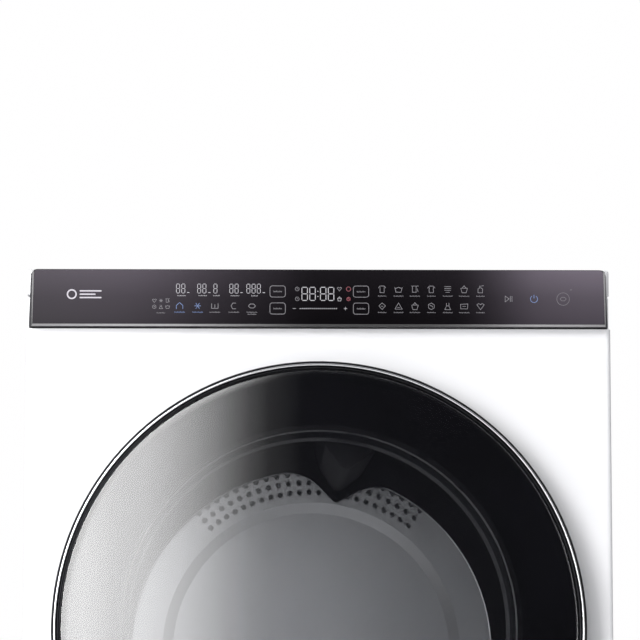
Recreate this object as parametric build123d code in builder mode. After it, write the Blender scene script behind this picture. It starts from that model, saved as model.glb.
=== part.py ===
"""Front-loading heat-pump clothes dryer, modelled as its separate pieces, in millimetres.

Frame: the origin is on the floor at the middle of the machine, +Z up, and the front faces -Y.
Two horizontal axes run from front to back: the door axis and, a little lower, the drum axis.
"""

import os

from math import cos, hypot, radians, sin, tan

from build123d import *

# ---- driving dimensions -------------------------------------------------------------------
WIDTH = 595.0
HEIGHT = 850.0
DEPTH = 650.0
HALF = WIDTH / 2
SHEET = 1.0  # steel sheet
REAR_Y = 300.0  # outer face of the rear panel
FRONT_Y = -281.0  # outer face of the front panel and plinth
DOOR_FRONT_Y = -DEPTH / 2  # crown of the door glass
SIDE_FRONT_Y = -261.5  # seam between the front panel's returns and the side panels

FLOOR_GAP = 18.0  # floor to the underside of the base
PLINTH_TOP = 187.0
FASCIA_BOTTOM = 789.0
WORKTOP_BOTTOM = 824.0

DOOR_Z = 484.5
DOOR_R = 267.0
DOOR_REAR_Y = -285.0
OPENING_R = 216.0  # loading opening in the front panel
TUNNEL_R = 194.0  # loading tunnel behind it
TUNNEL_FRONT_Y = -262.0
HINGE_X = -260.0
HINGE_Y = -303.0
HINGE_EAR_Z = 34.0  # height of each hinge ear above or below the door axis

LEVER_X, LEVER_Z = 254.0, 113.0  # lever that locks the filter door
DUCT_FRONT_Y = -254.8  # front end of the heat pump's duct
BAY_FRONT_Y = -254.8  # mouth of the water drawer's bay
BAY_X0, BAY_X1 = -270.0, -30.0

DRUM_Z = 464.5
DRUM_R = 283.0
DRUM_WALL = 1.2
DRUM_FRONT_Y = -215.0
DRUM_REAR_Y = 232.0
RING_Y = 224.0  # front face of the drum's rear ring
LOBE_R = 209.6  # opening in the rear ring
LIFTER_TIP_R = 175.2
LIFTER_ANGLES = (81.0, 201.0, 321.0)

BULKHEAD_FRONT_Y = -227.0
BULKHEAD_REAR_Y = -224.0
BACK_DISC_Y = 238.0  # seat of the perforated back disc on the rear bulkhead

ROLLER_R = 22.0
ROLLER_ANGLE = 28.0  # each side of straight down
RUN_GAP = 0.3  # gap between a moving piece and what it all but touches
SHAFT_GAP = 0.06  # radial running clearance of a shaft in its hole

MOTOR_X, MOTOR_Z = 165.0, 100.0
MOTOR_Y0, MOTOR_Y1 = 170.0, 230.0
MOTOR_BOSS_R = 16.0
SHAFT_R = 6.0
BELT_Y = 150.0
BELT_W = 10.0
BELT_T = 2.5
PULLEY_R = 11.0
IDLER_X, IDLER_Z, IDLER_R = 90.0, 85.0, 20.0
IDLER_PIVOT_X, IDLER_PIVOT_Z = 112.0, 46.0
FAN_R = 66.0
FAN_Y1 = 286.0  # rear face of the fan

FOOT_X, FOOT_Y = 255.0, 236.0
FOOT_CENTRE_Y = 19.0  # the base is set back from the middle of the overall depth

TANK_X0, TANK_X1 = -284.0, -22.0
FLAP_X0, FLAP_X1 = -8.0, 285.2
LOW_Z0, LOW_Z1 = 52.0, 178.0  # drawer front and service flap
LOW_GAP = 1.8  # gap around them in the plinth
FLAP_PIVOT_X, FLAP_PIVOT_Y = 283.0, -278.5

os.makedirs("parts", exist_ok=True)


# ---- helpers ------------------------------------------------------------------------------
def front_plane(y, z=0.0, x=0.0):
    """Plane seen from the front: local x to the right, local y up, extrusion towards the viewer."""
    return Plane(origin=(x, y, z), x_dir=(1, 0, 0), z_dir=(0, -1, 0))


def save(part, name):
    """Labels a finished piece and writes its STEP file."""
    part.label = name
    export_step(part, f"parts/{name}.step")


def turned(profile, axis_z, arc=360.0):
    """A solid of revolution about the front-to-back axis at height axis_z; profile holds (radius, y)."""
    with BuildPart() as body:
        with BuildSketch(Plane.XY.offset(axis_z)):
            Polygon(*profile, align=None)
        revolve(axis=Axis((0, 0, axis_z), (0, 1, 0)), revolution_arc=arc)
    return body.part


def block(x0, x1, y0, y1, z0, z1, mode=Mode.ADD):
    """A box given by its limits, added to the part being built."""
    with Locations(((x0 + x1) / 2, (y0 + y1) / 2, (z0 + z1) / 2)):
        Box(x1 - x0, y1 - y0, z1 - z0, mode=mode)


def off_axis(vertex):
    """Distance of a sketch's vertex from that sketch's origin."""
    return hypot(vertex.X, vertex.Y)


def mirrored(half):
    """Outline from the half of it on one side of local x, whose first point lies on local x."""
    return half + [(x, -y) for x, y in reversed(half[1:])]


def rod_y(x, z, radius, y0, y1, mode=Mode.ADD):
    """A cylinder along Y, from y0 back to y1, added to the part being built."""
    with BuildSketch(front_plane(y1)) as section:
        with Locations((x, z)):
            Circle(radius)
    extrude(section.sketch, amount=y1 - y0, mode=mode)


# ---- cabinet ------------------------------------------------------------------------------
def base_tray():
    """Moulded base that carries everything: floor, rim, drawer bay, motor saddle, idler post, foot bosses."""
    x1, y0, y1 = 293.0, -258.0, 296.0
    floor, rim, wall = 4.0, 42.0, 3.0
    deck, rib_top = FLOOR_GAP + floor, 60.0
    standing = (Align.CENTER, Align.CENTER, Align.MIN)
    with BuildPart() as body:
        block(-x1, x1, y0, y1, FLOOR_GAP, FLOOR_GAP + rim)
        block(-x1 + wall, x1 - wall, y0 + wall, y1 - wall, deck, HEIGHT, mode=Mode.SUBTRACT)
        block(-16, -13, y0 + wall, 108, deck, rib_top)
        block(-x1 + wall, -13, 108, 111, deck, rib_top)
        block(0, 3, y0 + wall, 74, deck, 58.5)
        for y in (-200, -60, 60):
            block(-x1 + wall, -16, y, y + wall, deck, rib_top)
        block(BAY_X0, BAY_X1, BAY_FRONT_Y, 104, 59, 169.5)
        block(BAY_X0 + 2, BAY_X1 - 2, BAY_FRONT_Y - 1, 102, 61, 167.5, mode=Mode.SUBTRACT)
        for y in (MOTOR_Y0 - 7.5, MOTOR_Y1 + 1.5):
            block(MOTOR_X - 34, MOTOR_X + 34, y, y + 3, deck, MOTOR_Z)
            rod_y(MOTOR_X, MOTOR_Z, MOTOR_BOSS_R, y - 1, y + 4, mode=Mode.SUBTRACT)
        block(IDLER_PIVOT_X - 14, IDLER_PIVOT_X + 2, 166, 169, deck, 60)
        rod_y(IDLER_PIVOT_X, IDLER_PIVOT_Z, 5, 158, 167)
        for x in (-FOOT_X, FOOT_X):
            for y in (FOOT_CENTRE_Y - FOOT_Y, FOOT_CENTRE_Y + FOOT_Y):
                with Locations(Location((x, y, FLOOR_GAP))):
                    Cylinder(13, 34, align=standing)
                    Cylinder(5 + SHAFT_GAP, 36, align=standing, mode=Mode.SUBTRACT)
    save(body.part, "base_tray")


def feet():
    """Four levelling feet, each a ribbed pad, a hexagon to turn it by and a stud."""
    spots = {
        "foot_front_left": (-FOOT_X, FOOT_CENTRE_Y - FOOT_Y),
        "foot_front_right": (FOOT_X, FOOT_CENTRE_Y - FOOT_Y),
        "foot_rear_left": (-FOOT_X, FOOT_CENTRE_Y + FOOT_Y),
        "foot_rear_right": (FOOT_X, FOOT_CENTRE_Y + FOOT_Y),
    }
    for name, (x, y) in spots.items():
        with BuildPart() as foot:
            with BuildSketch(Plane.XZ.offset(-y)):
                Polygon((x, 0), (x + 20, 0), (x + 21, 1.5), (x + 21, 5), (x + 14, 9), (x, 9), align=None)
            revolve(axis=Axis((x, y, 0), (0, 0, 1)))
            with BuildSketch(Plane.XY.offset(9)):
                with Locations((x, y)):
                    RegularPolygon(10, 6)
            extrude(amount=8)
            with BuildSketch(Plane.XY.offset(17)):
                with Locations((x, y)):
                    Circle(5)
            extrude(amount=29)
        save(foot.part, name)


def side_panels():
    """Pressed steel sides with a folded flange front and back and a stiffening step low down."""
    flange = 17.0
    z0, z1 = 20.0, 822.0
    y0, y1 = SIDE_FRONT_Y, REAR_Y - 2
    for side, name in ((-1, "side_panel_left"), (1, "side_panel_right")):
        outer = side * HALF
        inner = side * (HALF - flange)
        with BuildPart() as panel:
            with BuildSketch(Plane.XY.offset(z0)):
                with BuildLine():
                    FilletPolyline((inner, y0), (outer, y0), (outer, y1), (inner, y1), radius=2.5)
                    offset(amount=SHEET, side=Side.RIGHT if side < 0 else Side.LEFT, closed=True)
                make_face()
            extrude(amount=z1 - z0)
        save(panel.part, name)


def front_panel():
    """White pressed front: flat face with folded edges, a shallow dished recess and the round opening."""
    z0, z1 = PLINTH_TOP + 2.0, FASCIA_BOTTOM - 1.0
    edge = SIDE_FRONT_Y - 0.5
    recess_r, floor_r, recess = 237.0, 230.0, 8.0
    with BuildPart() as panel:
        with BuildSketch(Plane.XY.offset(z0)):
            with BuildLine():
                FilletPolyline((-HALF, edge), (-HALF, FRONT_Y), (HALF, FRONT_Y), (HALF, edge), radius=6)
                Line((HALF, edge), (-HALF, edge))
            make_face()
        extrude(amount=z1 - z0)
        offset(amount=-SHEET, openings=panel.faces().sort_by(Axis.Y)[-1])
        rod_y(0, DOOR_Z, recess_r + 0.6, FRONT_Y - 1, FRONT_Y + 5, mode=Mode.SUBTRACT)
        front, back = FRONT_Y, FRONT_Y + recess
        with BuildSketch(Plane.XY.offset(DOOR_Z)):
            Polygon(
                (recess_r + 1, front),
                (floor_r, back),
                (OPENING_R, back),
                (OPENING_R, back + 9),
                (OPENING_R + SHEET, back + 9),
                (OPENING_R + SHEET, back + SHEET),
                (floor_r + 0.4, back + SHEET),
                (recess_r + 1.2, front + SHEET),
                align=None,
            )
        revolve(axis=Axis((0, 0, DOOR_Z), (0, 1, 0)))
        for z in (DOOR_Z - HINGE_EAR_Z, DOOR_Z + HINGE_EAR_Z):
            block(-259, -239, FRONT_Y - 1, FRONT_Y + 3, z - 8, z + 8, mode=Mode.SUBTRACT)
        block(218, 229.6, FRONT_Y, FRONT_Y + 11, DOOR_Z - 11, DOOR_Z + 11, mode=Mode.SUBTRACT)
    save(panel.part, "front_panel")


def plinth():
    """Lower front moulding with the openings for the water drawer and the service flap."""
    thick, back = 5.0, SIDE_FRONT_Y - 0.5
    with BuildPart() as body:
        with BuildSketch(Plane.XY.offset(20)):
            with BuildLine():
                FilletPolyline((-HALF, back), (-HALF, FRONT_Y), (HALF, FRONT_Y), (HALF, back), radius=6)
                Line((HALF, back), (-HALF, back))
            make_face()
            with Locations((0, FRONT_Y + thick)):
                Rectangle(WIDTH - 6, 40, align=(Align.CENTER, Align.MIN), mode=Mode.SUBTRACT)
        extrude(amount=PLINTH_TOP - 20)
        z0, z1 = LOW_Z0 - LOW_GAP, LOW_Z1 + LOW_GAP
        for x0, x1 in ((TANK_X0, TANK_X1), (FLAP_X0, FLAP_X1)):
            block(x0 - LOW_GAP, x1 + LOW_GAP, FRONT_Y - 1, FRONT_Y + thick + 1, z0, z1, mode=Mode.SUBTRACT)
        with Locations((FLAP_PIVOT_X, FLAP_PIVOT_Y, (z0 + z1) / 2)):
            Cylinder(1.6 + SHAFT_GAP, z1 - z0 + 8, mode=Mode.SUBTRACT)
        fillet(body.edges().filter_by(Axis.X).group_by(Axis.Y)[0].sort_by(Axis.Z)[-1], 1.5)
    save(body.part, "plinth")


def rear_panel():
    """Rear sheet with a flanged edge, the drum-cover opening, air slots and service holes."""
    z0, z1, cover_r = 24.0, 822.0, 238.0
    with BuildPart() as panel:
        block(-295, 295, REAR_Y - SHEET, REAR_Y, z0, z1)
        rod_y(0, DRUM_Z, cover_r, REAR_Y - 3, REAR_Y + 1, mode=Mode.SUBTRACT)
        with BuildSketch(front_plane(REAR_Y + 1)) as slots:
            for centre_x in (-215, 215):
                with Locations((centre_x, 112)):
                    with GridLocations(0, 11, 1, 9):
                        SlotOverall(70, 4)
        extrude(slots.sketch, amount=4, mode=Mode.SUBTRACT)
        rod_y(228, 770, 9, REAR_Y - 3, REAR_Y + 1, mode=Mode.SUBTRACT)
        rod_y(-235, 745, 9, REAR_Y - 3, REAR_Y + 1, mode=Mode.SUBTRACT)
    save(panel.part, "rear_panel")


def rear_duct_cover():
    """Round dished cover that closes the hot-air chamber behind the drum, with pressed rings."""
    face = DEPTH / 2
    profile = [
        (0, face - 6),
        (60, face - 6),
        (66, face),
        (216, face),
        (228, REAR_Y + SHEET),
        (254, REAR_Y + SHEET),
        (254, REAR_Y),
        (227, REAR_Y),
        (215, face - SHEET),
        (66.5, face - SHEET),
        (60.5, face - 6 - SHEET),
        (0, face - 6 - SHEET),
    ]
    save(turned(profile, DRUM_Z), "rear_duct_cover")


def rear_screws():
    """The screws that show at the back: duct cover, rear panel and worktop."""
    ring = [(246 * cos(radians(a)), REAR_Y + SHEET, DRUM_Z + 246 * sin(radians(a))) for a in range(15, 375, 30)]
    edge = [(x, REAR_Y, z) for x in (-288, 288) for z in (40, 230, 420, 610, 805)]
    edge += [(x, REAR_Y, z) for x in (-150, 0, 150) for z in (32, 814)]
    top = [(x, REAR_Y, 836) for x in (-240, 240)]
    head_r, head_h = 4.5, 2.0
    with BuildPart() as heads:
        for spot in ring + edge + top:
            with BuildSketch(Plane(origin=spot, z_dir=(0, 1, 0))) as head:
                Circle(head_r)
            extrude(head.sketch, amount=head_h)
            with BuildSketch(Plane(origin=spot, z_dir=(0, 1, 0)).offset(head_h)) as cross:
                Rectangle(head_r * 1.1, head_r * 0.28)
                Rectangle(head_r * 0.28, head_r * 1.1)
            extrude(cross.sketch, amount=-head_h * 0.6, mode=Mode.SUBTRACT)
    save(heads.part, "rear_screws")


def worktop():
    """Removable top with softened edges, hollow below, and a fine groove round its inset board."""
    y0, inset, groove = -270.0, 9.0, 0.8
    with BuildPart() as top:
        block(-HALF, HALF, y0, REAR_Y, WORKTOP_BOTTOM, HEIGHT)
        fillet(top.edges().filter_by(Axis.Z), 5)
        fillet(top.edges().group_by(Axis.Z)[-1], 3)
        with BuildSketch(Plane.XY.offset(HEIGHT)) as line:
            with Locations((0, (y0 + REAR_Y) / 2)):
                Rectangle(WIDTH - 2 * inset, REAR_Y - y0 - 2 * inset)
                inset += groove
                Rectangle(WIDTH - 2 * inset, REAR_Y - y0 - 2 * inset, mode=Mode.SUBTRACT)
        extrude(line.sketch, amount=-1.2, mode=Mode.SUBTRACT)
        block(-HALF + 4, HALF - 4, y0 + 4, REAR_Y - 4, WORKTOP_BOTTOM - 1, HEIGHT - 16, mode=Mode.SUBTRACT)
    save(top.part, "worktop")


# ---- control panel ------------------------------------------------------------------------
FASCIA_REAR_Y = -271.0
FASCIA_FRONT_Y = -293.0
FASCIA_TAPER = 8.0
FACE_HALF = 292.2  # half-width of the fascia's front face
FACE_Z0, FACE_Z1 = FASCIA_BOTTOM, 846.9


def fascia():
    """Full-width housing whose cheeks and top draw in towards the front, with glass and trim."""
    spare = 4.0  # height below the flat underside, cut away again
    rise = HEIGHT - FASCIA_BOTTOM + spare
    with BuildPart() as housing:
        with BuildSketch(front_plane(FASCIA_REAR_Y)) as outline:
            with Locations((0, FASCIA_BOTTOM - spare)):
                Trapezoid(591.2, rise, 88.2, align=(Align.CENTER, Align.MIN))
            fillet(outline.vertices().group_by(Axis.Z)[-1], 7)
        extrude(amount=FASCIA_REAR_Y - FASCIA_FRONT_Y, taper=FASCIA_TAPER)
        block(-300, 300, FASCIA_FRONT_Y - 1, FASCIA_REAR_Y + 1, 780, FASCIA_BOTTOM, mode=Mode.SUBTRACT)
        block(-288, 288, FASCIA_FRONT_Y + 6, FASCIA_REAR_Y + 1, 795, 844, mode=Mode.SUBTRACT)
        block(-240, 240, FASCIA_FRONT_Y - 1, FASCIA_FRONT_Y + 7, 798, 841, mode=Mode.SUBTRACT)
    save(housing.part, "fascia_housing")

    side, foot, proud = 1.7, 2.2, 1.4
    x, z0, z1 = FACE_HALF - 0.2, FACE_Z0 + 0.1, FACE_Z1 - 1.5
    with BuildPart() as trim:
        with BuildSketch(front_plane(FASCIA_FRONT_Y)) as rim:
            Polygon((-x, z0), (x, z0), (x - 1.4, z1), (-x + 1.4, z1), align=None)
            Polygon(
                (-x + side, z0 + foot),
                (x - side, z0 + foot),
                (x - side - 1.4, z1 + 1),
                (-x + side + 1.4, z1 + 1),
                align=None,
                mode=Mode.SUBTRACT,
            )
        extrude(amount=proud)
    save(trim.part, "fascia_trim")

    gap = 0.15
    with BuildPart() as glass:
        with BuildSketch(front_plane(FASCIA_FRONT_Y)) as pane:
            Polygon(
                (-x + side + gap, z0 + foot + gap),
                (x - side - gap, z0 + foot + gap),
                (x - side - 1.4 - gap, FACE_Z1 - 0.3),
                (-x + side + 1.4 + gap, FACE_Z1 - 0.3),
                align=None,
            )
            fillet(pane.vertices().group_by(Axis.Z)[-1], 4)
        extrude(amount=1.0)
    save(glass.part, "fascia_glass")


def electronics():
    """Display board behind the fascia, the boxed power board, the moisture sensor and the drum lamp."""
    with BuildPart() as board:
        block(-236, 236, -284, -282.4, 799, 840)
        block(-52, 38, -289, -284, 812, 832)
        for x in (-150, -120, -90, -60, 70, 100, 130, 160, 190):
            block(x - 7, x + 7, -287.5, -284, 806, 820)
        block(-200, -160, -282.4, -276, 806, 826)
        block(120, 170, -282.4, -278, 806, 830)
    save(board.part, "display_board")

    with BuildPart() as box:
        block(118, 272, -221, -79, 764, 794)
        fillet(box.edges().filter_by(Axis.Z), 6)
        offset(amount=-2.2, openings=box.faces().sort_by(Axis.Z)[0])
    save(box.part, "control_box")
    with BuildPart() as sensor:
        for x0, x1 in ((-72, -14), (14, 72)):
            block(x0, x1, BULKHEAD_REAR_Y, BULKHEAD_REAR_Y + 2, 250, 259)
        fillet(sensor.edges().filter_by(Axis.X).group_by(Axis.Y)[-1], 1.5)
    save(sensor.part, "moisture_sensor")

    with BuildPart() as lamp:
        rod_y(0, 716, 14, BULKHEAD_REAR_Y, BULKHEAD_REAR_Y + 6)
        fillet(lamp.edges().sort_by(Axis.Y)[-1], 3)
    save(lamp.part, "drum_lamp")


# ---- door ---------------------------------------------------------------------------------
def door():
    """Round door: black frame, bright ring, domed tinted glass, clear bowl and rear cover."""
    lip, web = DOOR_R - 1.1, -312.0
    frame_profile = [
        (DOOR_R, DOOR_REAR_Y),
        (DOOR_R, -316.5),
        (lip, -317.5),
        (lip, web),
        (198, web),
        (198, -288),
        (201, -288),
        (201, web + 3),
        (DOOR_R - 3, web + 3),
        (DOOR_R - 3, DOOR_REAR_Y),
    ]
    with BuildPart() as frame:
        add(turned(frame_profile, DOOR_Z))
        block(-280, -239, web + 3, DOOR_REAR_Y + 1, DOOR_Z - 43, DOOR_Z + 43, mode=Mode.SUBTRACT)
        block(246, 280, web + 3, DOOR_REAR_Y + 1, DOOR_Z - 48, DOOR_Z + 48, mode=Mode.SUBTRACT)
        for z in (DOOR_Z - HINGE_EAR_Z, DOOR_Z + HINGE_EAR_Z):
            block(-280, HINGE_X - 0.5, web, web + 4, z - 7.5, z + 7.5, mode=Mode.SUBTRACT)
    save(frame.part, "door_frame")

    outer, inner = lip - 0.15, DOOR_R - 8.9
    with BuildPart() as ring:
        with BuildSketch(Plane.XY.offset(DOOR_Z)):
            with BuildLine():
                Polyline((inner, web), (outer, web), (outer, -319.4))
                ThreePointArc((outer, -319.4), (outer - 1.4, -320.9), (outer - 2.9, -319.8))
                Polyline((outer - 2.9, -319.8), (inner + 0.6, -317.4), (inner, -316.6), (inner, web))
            make_face()
        revolve(axis=Axis((0, 0, DOOR_Z), (0, 1, 0)))
    save(ring.part, "door_ring")

    edge_r, dome, thick = inner - 0.3, 7.0, 4.0
    dome_r = (edge_r**2 + dome**2) / (2 * dome)
    with BuildPart() as glass:
        rod_y(0, DOOR_Z, edge_r, DOOR_FRONT_Y - 1, DOOR_FRONT_Y + dome + thick)
        with Locations((0, DOOR_FRONT_Y + dome_r, DOOR_Z)):
            Sphere(dome_r, mode=Mode.INTERSECT)
            Sphere(dome_r - thick, mode=Mode.SUBTRACT)
    save(glass.part, "door_glass")

    cover_profile = [
        (DOOR_R - 3.4, -288),
        (DOOR_R - 3.4, DOOR_REAR_Y),
        (209, DOOR_REAR_Y),
        (209, -266),
        (198.5, -266),
        (198.5, -269),
        (206, -269),
        (206, -288),
    ]
    grip_x0, grip_x1, grip_half = 219.0, 257.5, 47.5
    shell = 2.0
    with BuildPart() as cover:
        block(grip_x0, grip_x1, -308.8, DOOR_REAR_Y, DOOR_Z - grip_half, DOOR_Z + grip_half)
        fillet(cover.edges().filter_by(Axis.Y).group_by(Axis.X)[0], 8)
        add(turned(cover_profile, DOOR_Z))
        block(
            grip_x0 + 16, grip_x1 + 1, -306.8, -287, DOOR_Z - grip_half + shell, DOOR_Z + grip_half - shell,
            mode=Mode.SUBTRACT,
        )
        block(grip_x0 - 1, grip_x1 - 28, -306.8, -283, DOOR_Z - 40, DOOR_Z + 40, mode=Mode.SUBTRACT)
        block(258, 280, -309, DOOR_REAR_Y - 2, DOOR_Z - 48, DOOR_Z + 48, mode=Mode.SUBTRACT)
        block(-280, -239, -290, DOOR_REAR_Y + 1, DOOR_Z - 43, DOOR_Z + 43, mode=Mode.SUBTRACT)
    save(cover.part, "door_rear_cover")

    bowl_y, wall = -252.0, 4.0
    with BuildPart() as bowl:
        with BuildSketch(Plane.XY.offset(DOOR_Z)) as section:
            Polygon(
                (0, bowl_y),
                (166, bowl_y),
                (187, -282),
                (205.7, -282),
                (205.7, -287.7),
                (184, -287.7),
                (163, bowl_y - wall),
                (0, bowl_y - wall),
                align=None,
            )
            fillet(section.vertices().filter_by(lambda v: 160 < v.X < 170 and v.Y > -260), 2.5)
        revolve(axis=Axis((0, 0, DOOR_Z), (0, 1, 0)))
    save(bowl.part, "door_bowl")

    with BuildPart() as striker:
        block(220, 224, -306.8, -256, DOOR_Z - 7, DOOR_Z + 7)
        block(219, 225, -268, -261, DOOR_Z - 4, DOOR_Z + 4, mode=Mode.SUBTRACT)
        block(222, 228, -306.8, -303.8, DOOR_Z - 12, DOOR_Z + 12)
        fillet(striker.edges().filter_by(Axis.X).group_by(Axis.Y)[-1], 3)
    save(striker.part, "door_striker")


def hinge():
    """Door hinge: bracket with two ears and a riveted pin on the cabinet, leaf with its barrel on the door."""
    plate_y = FRONT_Y + SHEET
    root = (-249.0, plate_y)
    pivot = (HINGE_X, HINGE_Y)
    with BuildPart() as bracket:
        block(-271, -239.5, plate_y, plate_y + 3, DOOR_Z - 58, DOOR_Z + 58)
        for z in (DOOR_Z - HINGE_EAR_Z, DOOR_Z + HINGE_EAR_Z):
            with BuildSketch(Plane.XY.offset(z - 6)) as ear:
                SlotCenterPoint(((pivot[0] + root[0]) / 2, (pivot[1] + root[1]) / 2), pivot, 11)
            extrude(ear.sketch, amount=12)
        block(-300, -200, plate_y + 3, plate_y + 20, 300, 700, mode=Mode.SUBTRACT)
        with Locations((HINGE_X, HINGE_Y, DOOR_Z)):
            Cylinder(3, 2 * HINGE_EAR_Z)
    save(bracket.part, "hinge_bracket")

    half = 27.5
    with BuildPart() as leaf:
        block(HINGE_X, -206, -308.8, -305.3, DOOR_Z - half, DOOR_Z + half)
        with Locations((HINGE_X, HINGE_Y, DOOR_Z)):
            Cylinder(5.8, 2 * half)
            Cylinder(3 + SHAFT_GAP, 2 * half + 2, mode=Mode.SUBTRACT)
        fillet(leaf.edges().filter_by(Axis.Y).group_by(Axis.X)[-1], 6)
    save(leaf.part, "hinge_leaf")


def door_fittings():
    """Cabinet side of the door: rubber seal on the opening's lip and the lock behind the recess."""
    with BuildPart() as seal:
        with BuildSketch(Plane.XY.offset(DOOR_Z)) as section:
            lip = [(OPENING_R, -272), (OPENING_R, -264.5), (213.4, -264.5), (211.2, -267), (212.6, -272)]
            Polygon(*lip, align=None)
            fillet(section.vertices().filter_by(lambda v: v.X < 212), 1.2)
        revolve(axis=Axis((0, 0, DOOR_Z), (0, 1, 0)))
    save(seal.part, "door_seal")
    with BuildPart() as lock:
        block(217.6, 246, -271.9, -244, DOOR_Z - 30, DOOR_Z + 30)
        fillet(lock.edges().filter_by(Axis.Y), 3)
        block(219.1, 233, -273, -250, DOOR_Z - 12, DOOR_Z + 12, mode=Mode.SUBTRACT)
    save(lock.part, "door_lock")


# ---- drum and its supports ----------------------------------------------------------------
def front_bulkhead():
    """Moulded support plate with the loading tunnel, the drum's front bearing rim and the filter pocket."""
    wall = 3.0
    with BuildPart() as body:
        block(-288, 288, BULKHEAD_FRONT_Y, BULKHEAD_REAR_Y, 175, 792)
        fillet(body.edges().filter_by(Axis.Y), 20)
        block(-102, 102, -247, BULKHEAD_FRONT_Y, 172, 330)
        rod_y(0, DOOR_Z, TUNNEL_R + wall, TUNNEL_FRONT_Y, -212)
        rod_y(0, DOOR_Z, 214, TUNNEL_FRONT_Y, TUNNEL_FRONT_Y + 2)
        rod_y(0, DRUM_Z, 279, BULKHEAD_REAR_Y, -206)
        rod_y(0, DRUM_Z, 275, BULKHEAD_REAR_Y, -205, mode=Mode.SUBTRACT)
        rod_y(0, DOOR_Z, TUNNEL_R + wall, BULKHEAD_REAR_Y, -212)
        rod_y(0, DOOR_Z, TUNNEL_R, -280, -200, mode=Mode.SUBTRACT)
        block(-97, 97, -245, -229, 171, 330, mode=Mode.SUBTRACT)
    save(body.part, "front_bulkhead")


def lint_filter():
    """Lint filter that lifts out of the tunnel floor: frame with a curved cap and two mesh windows."""
    with BuildPart() as frame:
        block(-93, 93, -243.6, -230.4, 200, 330)
        rod_y(0, DOOR_Z, TUNNEL_R + 1.5, -250, -220, mode=Mode.SUBTRACT)
        with BuildSketch(front_plane(-220)) as windows:
            with Locations((-45, 238), (45, 238)):
                RectangleRounded(78, 64, 5)
        extrude(windows.sketch, amount=40, mode=Mode.SUBTRACT)
        block(-88, 88, -241.2, -232.8, 203, 274, mode=Mode.SUBTRACT)
        with Locations((0, -237, DOOR_Z - TUNNEL_R)):
            Box(56, 7, 22, mode=Mode.SUBTRACT)
        for y in (-241.0, -233.8):
            block(-87.5, 87.5, y, y + 0.8, 204, 273.5)
    save(frame.part, "lint_filter")


def rear_bulkhead():
    """Galvanised support plate behind the drum, open where the hot air passes to the back disc."""
    with BuildPart() as plate:
        block(-288, 288, BACK_DISC_Y, BACK_DISC_Y + 1.5, 182, 792)
        fillet(plate.edges().filter_by(Axis.Y), 20)
        rod_y(0, DRUM_Z, 250, BACK_DISC_Y - 1, BACK_DISC_Y + 3, mode=Mode.SUBTRACT)
    save(plate.part, "rear_bulkhead")


def back_disc():
    """Stainless back wall of the drum space: dished middle and an upper sector perforated for the hot air."""
    y = BACK_DISC_Y
    dish_r, rim_r, dish = 170.0, 262.0, 9.0
    sector = (48.5, 133.0)
    rows, pitch, hole_r = (186.0, 197.4, 208.2, 219.0), 3.5, 2.6
    with BuildPart() as disc:
        with BuildSketch(Plane.XY.offset(DRUM_Z)):
            Polygon(
                (0, y + dish - 1),
                (dish_r - 8, y + dish - 1),
                (dish_r + 4, y - 1),
                (rim_r, y - 1),
                (rim_r, y),
                (dish_r + 4.6, y),
                (dish_r - 7.4, y + dish),
                (0, y + dish),
                align=None,
            )
        revolve(axis=Axis((0, 0, DRUM_Z), (0, 1, 0)))
        with BuildSketch(front_plane(y - 1, DRUM_Z)) as pad:
            Circle(249)
            Circle(dish_r + 6, mode=Mode.SUBTRACT)
            reach = 420.0
            low, high = (radians(a) for a in sector)
            Polygon(
                (0, 0),
                (reach * cos(low), reach * sin(low)),
                (0, 2 * reach),
                (reach * cos(high), reach * sin(high)),
                align=None,
                mode=Mode.SUBTRACT,
            )
        extrude(pad.sketch, amount=2.5)
        with BuildSketch(front_plane(y + 1, DRUM_Z)) as holes:
            count = int((sector[1] - sector[0] - 4) / pitch)
            middle = (sector[0] + sector[1]) / 2
            start = middle - pitch * (count - 1) / 2
            for radius in rows:
                with PolarLocations(radius, count, start_angle=start, angular_range=pitch * count):
                    Circle(hole_r)
        extrude(holes.sketch, amount=4, mode=Mode.SUBTRACT)
    save(disc.part, "drum_back_disc")


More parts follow.
